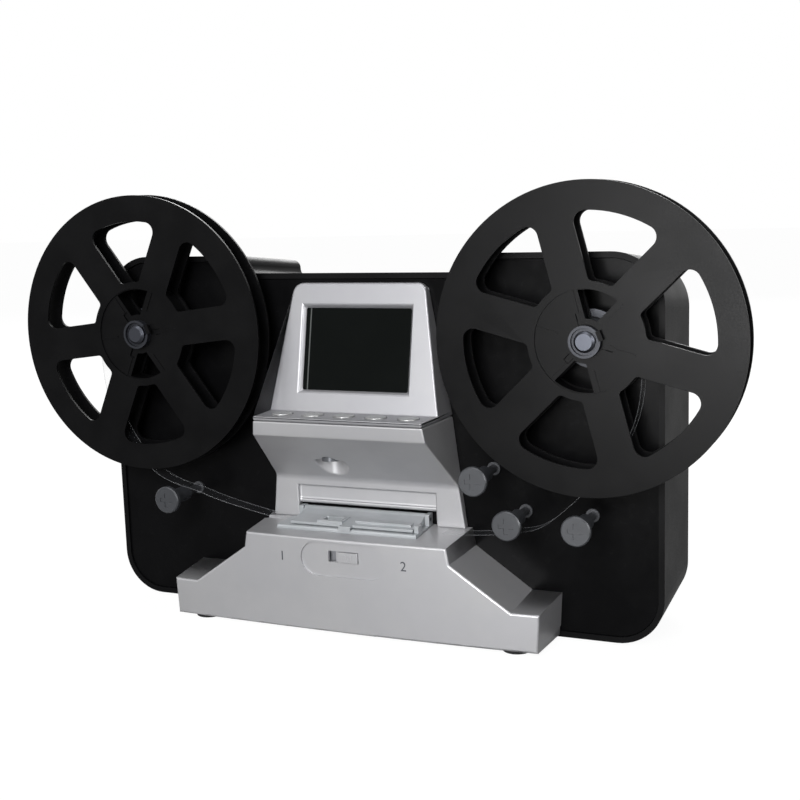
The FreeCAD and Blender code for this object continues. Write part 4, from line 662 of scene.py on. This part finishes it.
@dataclass(frozen=True)
class DisplayGlass:
    """The dark display glass with the light line at the edge of its picture.

    Attributes:
        line_x: Place of the line along X, in metres.
        line_half: Half of its width in metres.
        line_colour: Its colour, linear.
        dullest: Largest roughness.
    """

    line_x: float = -23.3 * MM
    line_half: float = 0.28 * MM
    line_colour: Colour = linear(96, 99, 98)
    dullest: float = 0.2

    def material(self) -> bpy.types.Material:
        """Builds the nodes of the finish and gives its material."""
        glass = Look.SCREEN.value
        shader = Shader("display_glass")
        cloud = shader.noise(glass.cloud)
        sideways, _, _ = shader.axes()
        line = abs(sideways - self.line_x) < self.line_half
        shader.feed("Base Color", shader.blend_colours(line, glass.colour, self.line_colour))
        shader.feed("Roughness", cloud.spread(MOST_OF_NOISE, glass.roughness, self.dullest))
        shader.feed("Specular IOR Level", glass.specular)
        shader.raise_relief(cloud, glass.relief)
        return shader.material


class FinishShop:
    """Makes each finish once and hands it out."""

    def __init__(self) -> None:
        """Starts with no material made."""
        self._made: dict[Look, bpy.types.Material] = {}

    def material(self, look: Look) -> bpy.types.Material:
        """Gives the material of a look.

        Args:
            look: The wanted look.

        Returns:
            Its material, made on first use.
        """
        if look not in self._made:
            self._made[look] = look.value.material(look.name.lower())
        return self._made[look]


SLOT_LOOKS: dict[str, Look] = {
    "black_plastic": Look.BLACK_SHELL,
    "gloss_black": Look.GLOSS_PANEL,
    "silver_plastic": Look.SILVER,
    "screen_glass": Look.SCREEN,
    "white_diffuser": Look.MILKY,
    "steel": Look.STEEL,
    "motor_steel": Look.PLATED,
    "bearing_brass": Look.BRONZE,
    "board_green": Look.BOARD,
    "rubber": Look.RUBBER,
    "button_grey": Look.BUTTON,
    "roller_grey": Look.ROLLER,
    "reel_charcoal": Look.REEL,
}
NODE_LOOKS: dict[str, Look] = {
    # The screen frame takes the darker silver, which is painted shade.
    "screen_cover": Look.FRAME,
    "screen_module": Look.SCREEN,
    "camera_lens": Look.LENS,
    "film_bed": Look.GATE,
    "film_gate_flap": Look.GATE,
    "roller_posts": Look.DULL_STEEL,
    "left_spindle_collar": Look.COLLAR,
    "right_spindle_collar": Look.COLLAR,
}
SLOTS: dict[str, str] = {
    part["node"]: part["material_slot"] for part in frame["record"]["subparts"]
}


def look_of(name: str) -> Look:
    """Gives the finish of a CAD node.

    Args:
        name: The node's name.

    Returns:
        Its own look, or the one of its material slot.
    """
    return NODE_LOOKS.get(name, SLOT_LOOKS[SLOTS[name]])


def middle_of(name: str) -> Vector:
    """Gives the middle of a CAD node's box."""
    low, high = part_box(name)
    return (Vector(low) + Vector(high)) / 2


def linked(name: str, data: bpy.types.ID) -> bpy.types.Object:
    """Makes an object and links it to the scene.

    Args:
        name: The object's name.
        data: Its mesh, curve, light or camera.

    Returns:
        The new object.
    """
    thing = bpy.data.objects.new(name, data)
    bpy.context.scene.collection.objects.link(thing)
    return thing


def mesh_of(curve: bpy.types.Curve) -> bmesh.types.BMesh:
    """Turns a curve or a text into a mesh.

    Args:
        curve: The curve.

    Returns:
        Its mesh.
    """
    holder = linked("route", curve)
    flat = bpy.data.meshes.new_from_object(holder)
    bpy.data.objects.remove(holder)
    mesh = bmesh.new()
    mesh.from_mesh(flat)
    return mesh


def dress(piece: bpy.types.Object, material: bpy.types.Material) -> None:
    """Puts one material on a piece.

    Args:
        piece: The object.
        material: Its material.
    """
    piece.data.materials.clear()
    piece.data.materials.append(material)


def add_piece(
    mesh: bmesh.types.BMesh, name: str, body: str, material: bpy.types.Material
) -> bpy.types.Object:
    """Turns a finished mesh into a piece that rides on a body.

    Args:
        mesh: The mesh, in metres in the frame, which is used up.
        name: The piece's name.
        body: The body that it rides on.
        material: Its material.

    Returns:
        The new object.
    """
    data = bpy.data.meshes.new(name)
    mesh.to_mesh(data)
    mesh.free()
    piece = linked(name, data)
    dress(piece, material)
    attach(piece, body)
    LOG.info("added %s on %s", name, body)
    return piece


@dataclass(frozen=True)
class PackedPieces:
    """The CAD nodes as they are packed.

    Attributes:
        display: The finish of the screen glass.
    """

    display: DisplayGlass = DisplayGlass()

    def build(self, shop: FinishShop) -> None:
        """Gives every CAD node the finish of its material slot.

        Args:
            shop: Where the finishes come from.
        """
        for name, node in frame["nodes"].items():
            dress(node, shop.material(look_of(name)))
        dress(frame["nodes"]["screen_glass"], self.display.material())
        LOG.info("dressed %d nodes", len(frame["nodes"]))


@dataclass(frozen=True)
class Rounding:
    """Which edges of a moulding are rounded, and how much.

    Attributes:
        radius: The edge radius.
        shortest: Length of the shortest edge that is rounded.
        hub: Radius round the middle of the piece within which edges stay crisp.
        sharp: Smallest angle in degrees at which faces meet in an edge that is rounded.
        held: Whether the radius is held back where edges are close together.
        steps: Number of facets across a rounded edge.
    """

    radius: float
    shortest: float = 0.0
    hub: float = 0.0
    sharp: float = 33.0
    held: bool = True
    steps: int = 3

    def folds(self, edge: bmesh.types.BMEdge) -> bool:
        """Tells whether two faces meet at an edge sharply."""
        return edge.calc_face_angle(0.0) > math.radians(self.sharp)

    def takes(self, edge: bmesh.types.BMEdge, middle: Vector) -> bool:
        """Tells whether an edge is rounded.

        Args:
            edge: The edge.
            middle: The middle of the piece.

        Returns:
            True for a sharp edge that is long enough and clear of the hub.
        """
        centre = (edge.verts[0].co + edge.verts[1].co) / 2 - middle
        clear = math.hypot(centre.x, centre.z) >= self.hub
        return self.folds(edge) and clear and edge.calc_length() >= self.shortest

    def mark(self, mesh: bmesh.types.BMesh, middle: Vector) -> None:
        """Weights the edges that are rounded and keeps the other folds sharp.

        Args:
            mesh: The merged mesh of the piece.
            middle: The middle of the piece.
        """
        for face in mesh.faces:
            face.smooth = True
        weight = mesh.edges.layers.float.new("bevel_weight_edge")
        for edge in mesh.edges:
            taken = self.takes(edge, middle)
            edge[weight] = float(taken)
            edge.smooth = taken or not self.folds(edge)

    def apply(self, piece: bpy.types.Object) -> None:
        """Rounds the weighted edges of a piece and evens its shading.

        Args:
            piece: The piece.
        """
        bevel = piece.modifiers.new("edges", "BEVEL")
        bevel.limit_method = "WEIGHT"
        bevel.width = self.radius
        bevel.segments = self.steps
        bevel.use_clamp_overlap = self.held
        evened = piece.modifiers.new("flat_faces", "WEIGHTED_NORMAL")
        evened.weight = 100
        evened.keep_sharp = True


@dataclass(frozen=True)
class RoundedMouldings:
    """Copies of the moulded nodes with the small round edges that a mould leaves.

    Attributes:
        flange: How the reel flanges are rounded.
        cover: How the tower and its screen frame are rounded.
        base: How the base cover is rounded.
        small: How the small pieces are rounded.
        button: How the buttons are rounded.
        button_count: Number of buttons.
        weld: Distance within which the points of a copy are merged.
        flat: Angle in degrees under which two faces of a copy become one.
    """

    flange: Rounding = Rounding(0.35 * MM, hub=25.0 * MM)
    cover: Rounding = Rounding(0.7 * MM, held=False)
    base: Rounding = Rounding(0.8 * MM, shortest=14.0 * MM)
    small: Rounding = Rounding(0.18 * MM)
    button: Rounding = Rounding(0.45 * MM)
    button_count: int = 5
    weld: float = 0.002 * MM
    flat: float = 0.3

    def build(self, shop: FinishShop) -> None:
        """Makes every rounded copy.

        Args:
            shop: Where the finishes come from.
        """
        plan = {
            f"{side}_reel_{place}_flange": self.flange
            for side in ("left", "right")
            for place in ("front", "rear")
        }
        plan.update(dict.fromkeys(("tower_cover", "screen_cover"), self.cover))
        plan["base_cover"] = self.base
        plan.update(dict.fromkeys(("film_bed", "film_gate_flap", "slide_switch"), self.small))
        for number in range(1, self.button_count + 1):
            plan[f"button_{number}"] = self.button
        for name, rounding in plan.items():
            self._copy(name, rounding, shop)

    def _copy(self, name: str, rounding: Rounding, shop: FinishShop) -> None:
        """Replaces one node by its copy with rounded edges.

        Args:
            name: The node's name.
            rounding: Which edges are rounded.
            shop: Where the finishes come from.
        """
        node = frame["nodes"][name]
        mesh = bmesh.new()
        mesh.from_mesh(node.data)
        bmesh.ops.remove_doubles(mesh, verts=mesh.verts, dist=self.weld)
        bmesh.ops.dissolve_limit(
            mesh, angle_limit=math.radians(self.flat), verts=mesh.verts, edges=mesh.edges
        )
        rounding.mark(mesh, middle_of(name))
        body = body_of(node)[0]
        material = shop.material(look_of(name))
        piece = add_piece(mesh, f"{name}_moulding", body, material)
        rounding.apply(piece)
        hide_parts(name)


@dataclass(frozen=True)
class FilmLeader:
    """The clear leader that runs from reel to reel through the gate.

    Attributes:
        middle_y: Place of its middle along Y.
        width: Its width.
        thickness: Its thickness.
        edge: Width of the painted highlight along each edge.
        bend_steps: Number of points between two points of the route.
        weld: Distance within which the points of a run are merged.
        left: Points of its run left of the gate, sideways and up, in millimetres.
        right: Points of its run right of the gate.
    """

    middle_y: float = -24.75 * MM
    width: float = 8.0 * MM
    thickness: float = 0.15 * MM
    edge: float = 0.45 * MM
    bend_steps: int = 8
    weld: float = 0.001 * MM
    left: tuple[tuple[float, float], ...] = (
        (-42.0, 48.9),
        (-54.0, 51.3),
        (-70.0, 54.9),
        (-80.0, 58.3),
        (-90.0, 60.2),
        (-101.0, 64.5),
        (-114.0, 76.0),
        (-124.0, 94.0),
        (-127.9, 112.0),
        (-127.9, 130.0),
    )
    right: tuple[tuple[float, float], ...] = (
        (42.0, 47.0),
        (54.0, 47.3),
        (68.0, 48.6),
        (76.0, 50.2),
        (84.5, 51.9),
        (92.7, 58.0),
        (100.6, 65.5),
        (114.0, 78.0),
        (124.0, 95.0),
        (127.9, 112.0),
        (127.9, 130.0),
    )

    def build(self) -> None:
        """Makes both runs."""
        material = ClearFilm(self.middle_y, self.width / 2, self.edge).material()
        for side, route in (("left", self.left), ("right", self.right)):
            name = f"film_leader_{side}"
            piece = add_piece(self._ribbon(route), name, "case", material)
            wall = piece.modifiers.new("thickness", "SOLIDIFY")
            wall.thickness = self.thickness
            wall.offset = 0.0

    def _ribbon(self, route: Sequence[tuple[float, float]]) -> bmesh.types.BMesh:
        """Draws a smooth line through the route and widens it into a ribbon.

        Args:
            route: Points sideways and up, in millimetres.

        Returns:
            The ribbon.
        """
        line = bpy.data.curves.new("leader_route", "CURVE")
        line.extrude = self.width / 2
        line.resolution_u = self.bend_steps
        spline = line.splines.new("NURBS")
        spline.points.add(len(route) - 1)
        for point, (sideways, up) in zip(spline.points, route):
            point.co = (sideways * MM, up * MM, 0.0, 1.0)
        spline.order_u = 3
        spline.use_endpoint_u = True
        mesh = mesh_of(line)
        upright = Matrix.Rotation(math.pi / 2, 4, "X")
        place = Matrix.Translation((0, self.middle_y, 0)) @ upright
        bmesh.ops.transform(mesh, matrix=place, verts=mesh.verts)
        bmesh.ops.remove_doubles(mesh, verts=mesh.verts, dist=self.weld)
        bmesh.ops.recalc_face_normals(mesh, faces=mesh.faces)
        for face in mesh.faces:
            face.smooth = True
        return mesh


@dataclass(frozen=True)
class SwitchFace:
    """The figures beside the slide switch and the ribs on its knob.

    Attributes:
        figure_height: Height of a figure.
        cap_share: Height of a figure as a share of the size of its text.
        ink: Thickness of the print.
        places: Place of each figure, sideways and up.
        ahead: Place along Y from which the print looks for the cover.
        rib_count: Number of ribs.
        rib_pitch: Distance from rib to rib.
        rib_size: Width, depth and height of a rib.
        rib_round: Radius of the edges of a rib.
    """

    figure_height: float = 4.2 * MM
    cap_share: float = 0.7
    ink: float = 0.06 * MM
    places: tuple[tuple[float, float], ...] = ((-29.5 * MM, 34.5 * MM), (28.5 * MM, 34.5 * MM))
    ahead: float = -200.0 * MM
    rib_count: int = 4
    rib_pitch: float = 1.3 * MM
    rib_size: tuple[float, float, float] = (0.45 * MM, 0.5 * MM, 2.8 * MM)
    rib_round: float = 0.135 * MM

    def build(self, shop: FinishShop) -> None:
        """Prints the figures and adds the ribs.

        Args:
            shop: Where the finishes come from.
        """
        cover = frame["nodes"]["base_cover"].data
        skin = BVHTree.FromPolygons(
            [vertex.co for vertex in cover.vertices], [face.vertices for face in cover.polygons]
        )
        for number, (sideways, up) in enumerate(self.places, start=1):
            start = Vector((sideways, self.ahead, up))
            spot, outwards, _, _ = skin.ray_cast(start, Vector((0, 1, 0)))
            self._figure(str(number), spot, outwards, shop)
        self._ribs(shop)

    def _figure(self, figure: str, spot: Vector, outwards: Vector, shop: FinishShop) -> None:
        """Prints one figure on the base cover.

        Args:
            figure: The figure.
            spot: Its middle on the cover's surface.
            outwards: The way that the surface faces.
            shop: Where the finish comes from.
        """
        text = bpy.data.curves.new("figure", "FONT")
        text.body = figure
        text.size = self.figure_height / self.cap_share
        text.align_x = "CENTER"
        text.align_y = "CENTER"
        text.extrude = self.ink / 2
        mesh = mesh_of(text)
        turn = outwards.to_track_quat("Z", "Y").to_matrix().to_4x4()
        lift = Matrix.Translation(spot + outwards * self.ink / 2)
        bmesh.ops.transform(mesh, matrix=lift @ turn, verts=mesh.verts)
        name = f"switch_figure_{figure}"
        add_piece(mesh, name, "case", shop.material(Look.INK))

    def _ribs(self, shop: FinishShop) -> None:
        """Adds the grip ribs to the knob.

        Args:
            shop: Where the finish comes from.
        """
        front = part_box("slide_switch")[0][1]
        middle = middle_of("slide_switch")
        mesh = bmesh.new()
        first = -(self.rib_count - 1) / 2 * self.rib_pitch
        for number in range(self.rib_count):
            rib = bmesh.ops.create_cube(mesh, size=1.0)["verts"]
            bmesh.ops.scale(mesh, vec=self.rib_size, verts=rib)
            spot = (middle.x + first + number * self.rib_pitch, front, middle.z)
            bmesh.ops.translate(mesh, vec=spot, verts=rib)
        bmesh.ops.bevel(
            mesh,
            geom=mesh.edges[:],
            offset=self.rib_round,
            segments=2,
            profile=0.5,
            affect="EDGES",
            material=-1,
        )
        material = shop.material(Look.SILVER)
        add_piece(mesh, "knob_ribs", "switch_knob", material)


@dataclass(frozen=True)
class Lamp:
    """One soft area light.

    Attributes:
        place: Where it hangs, in metres.
        aim: What it points at, in metres.
        width: Its width in metres.
        height: Its height in metres.
        power: Its power in watts.
        sheen_only: Whether it shows in reflections alone.
    """

    place: Place
    aim: Place
    width: float
    height: float
    power: float
    sheen_only: bool = False

    def hang(self, name: str) -> None:
        """Hangs the light.

        Args:
            name: The light's name.
        """
        data = bpy.data.lights.new(name, "AREA")
        data.shape = "RECTANGLE"
        data.size = self.width
        data.size_y = self.height
        data.energy = self.power
        light = linked(name, data)
        light.visible_diffuse = not self.sheen_only
        light.location = self.place
        direction = Vector(self.aim) - Vector(self.place)
        light.rotation_euler = direction.to_track_quat("-Z", "Y").to_euler()


@dataclass(frozen=True)
class Viewpoint:
    """The camera, which stands where the photograph was taken.

    Attributes:
        place: Where it stands, in metres.
        yaw: How far it is turned to the left, in degrees.
        pitch: How far it looks down, in degrees.
        roll: How far it leans, in degrees.
        lens: Its focal length in millimetres.
        sensor: The width of its sensor in millimetres.
        shift: How far its picture is shifted, as shares of the sensor.
        nearest: Distance from which it sees, in metres.
    """

    place: Place = (0.2335, -0.5073, 0.18729)
    yaw: float = 23.33
    pitch: float = 8.82
    roll: float = -1.74
    lens: float = 56.152
    sensor: float = 36.0
    shift: tuple[float, float] = (-0.0071875, -0.0064125)
    nearest: float = 0.01

    def build(self) -> None:
        """Sets the camera up and looks through it."""
        data = bpy.data.cameras.new("camera")
        data.lens = self.lens
        data.sensor_width = self.sensor
        data.sensor_fit = "HORIZONTAL"
        data.shift_x, data.shift_y = self.shift
        data.clip_start = self.nearest
        turn = Matrix.Rotation(math.radians(self.yaw), 4, "Z")
        tilt = Matrix.Rotation(math.radians(90 - self.pitch), 4, "X")
        roll = Matrix.Rotation(math.radians(self.roll), 4, "Z")
        camera = linked("camera", data)
        camera.matrix_world = Matrix.Translation(self.place) @ turn @ tilt @ roll
        bpy.context.scene.camera = camera


@dataclass(frozen=True)
class Studio:
    """The white floor, the white surroundings and the soft lights.

    Attributes:
        lamps: The lights.
        floor_half: Half of the floor's side, in metres.
        floor_drop: How far the floor lies under the object.
        floor_colours: The two colours of the floor, linear.
        floor_roughness: Its roughness.
        floor_cloud: Size of the variation of its colour, in metres.
        floor_glow: How bright its white is.
        floor_white: Share of that white for the camera's own rays.
        floor_mirrored: Share of that white for rays off metal and glass.
        dusk: Colour of the light from the surroundings.
        dusk_strength: How bright that light is.
    """

    lamps: tuple[Lamp, ...] = (
        Lamp((0.12, -1.25, 0.62), (0, 0, 0.08), width=0.8, height=0.6, power=17.2),
        Lamp((0.08, -0.75, 0.11), (0.14, 0, 0.13), 0.24, 0.2, power=3.6, sheen_only=True),
        Lamp((1.1, -0.5, 0.4), (0.05, 0, 0.1), 0.16, 0.7, power=8, sheen_only=True),
        Lamp((0.1, -0.25, 1.2), (0, 0, 0.05), 1.0, 0.3, power=5, sheen_only=True),
        Lamp((-0.35, 1.3, 0.8), (0, 0, 0.08), width=0.9, height=0.6, power=13),
    )
    floor_half: float = 6.0
    floor_drop: float = 0.2 * MM
    floor_colours: tuple[Colour, Colour] = (linear(150, 150, 150), linear(158, 158, 158))
    floor_roughness: float = 0.9
    floor_cloud: float = 0.4
    floor_glow: float = 1.36
    floor_white: float = 0.7
    floor_mirrored: float = 0.16
    dusk: tuple[float, float, float, float] = (0.95, 0.97, 1.0, 1.0)
    dusk_strength: float = 0.04

    def build(self) -> None:
        """Adds everything that isn't part of the object, apart from the camera."""
        self._floor()
        self._surroundings()
        for number, lamp in enumerate(self.lamps, start=1):
            lamp.hang(f"softbox_{number}")
        bpy.context.scene.view_settings.view_transform = "Standard"

    def _floor(self) -> None:
        """Lays the floor, which is plain white to the camera."""
        mesh = bmesh.new()
        bmesh.ops.create_grid(mesh, x_segments=1, y_segments=1, size=self.floor_half)
        data = bpy.data.meshes.new("floor")
        mesh.to_mesh(data)
        mesh.free()
        floor = linked("floor", data)
        floor.location.z = -self.floor_drop
        shader = Shader("floor")
        colour = shader.blend_colours(shader.noise(self.floor_cloud), *self.floor_colours)
        shader.feed("Base Color", colour)
        shader.feed("Roughness", self.floor_roughness)
        glow = self._white(shader.graph, "ShaderNodeEmission", self.floor_glow)
        share = self._share(shader.graph, self.floor_white, self.floor_mirrored)
        shader.show(self._either(share, shader.bare(), glow))
        data.materials.append(shader.material)

    def _surroundings(self) -> None:
        """Lights the room dimly and shows white behind the object."""
        world = bpy.data.worlds.new("room")
        world.use_nodes = True
        graph = NodeGraph(world.node_tree)
        sockets = {"Color": self.dusk, "Strength": self.dusk_strength}
        dim = graph.signal("ShaderNodeBackground", None, sockets)
        white = self._white(graph, "ShaderNodeBackground", 1.0)
        shown = self._either(self._share(graph, 1.0, 1.0), dim, white)
        graph.node("ShaderNodeOutputWorld", None, {"Surface": shown})
        bpy.context.scene.world = world

    def _white(self, graph: NodeGraph, kind: str, strength: float) -> Signal:
        """Adds a plain white glow.

        Args:
            graph: The graph that asks.
            kind: The type of the glowing node.
            strength: How bright it is.

        Returns:
            The glow.
        """
        return graph.signal(kind, None, {"Color": WHITE, "Strength": strength})

    def _either(self, share: Signal, first: Signal, second: Signal) -> Signal:
        """Mixes two surfaces.

        Args:
            share: Share of the second surface.
            first: The first surface.
            second: The second surface.

        Returns:
            The mixed surface.
        """
        sockets = {0: share, 1: first, 2: second}
        return share.graph.signal("ShaderNodeMixShader", None, sockets)

    def _share(self, graph: NodeGraph, plain: float, mirrored: float) -> Signal:
        """Gives how far the background is plain white to a ray.

        Args:
            graph: The graph that asks.
            plain: The share for the camera's own rays.
            mirrored: The share for rays off metal and glass.

        Returns:
            The share, and 0 for every other ray.
        """
        rays = graph.node("ShaderNodeLightPath").outputs
        camera, glossy, clear = (
            Signal(graph, rays[name])
            for name in ("Is Camera Ray", "Is Glossy Ray", "Is Transmission Ray")
        )
        return camera * plain + (glossy + clear) * mirrored


def main() -> None:
    """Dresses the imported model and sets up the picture."""
    logging.basicConfig(level=logging.INFO)
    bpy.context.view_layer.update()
    shop = FinishShop()
    PackedPieces().build(shop)
    RoundedMouldings().build(shop)
    FilmLeader().build()
    SwitchFace().build(shop)
    Studio().build()
    Viewpoint().build()


if __name__ == "__main__":
    main()
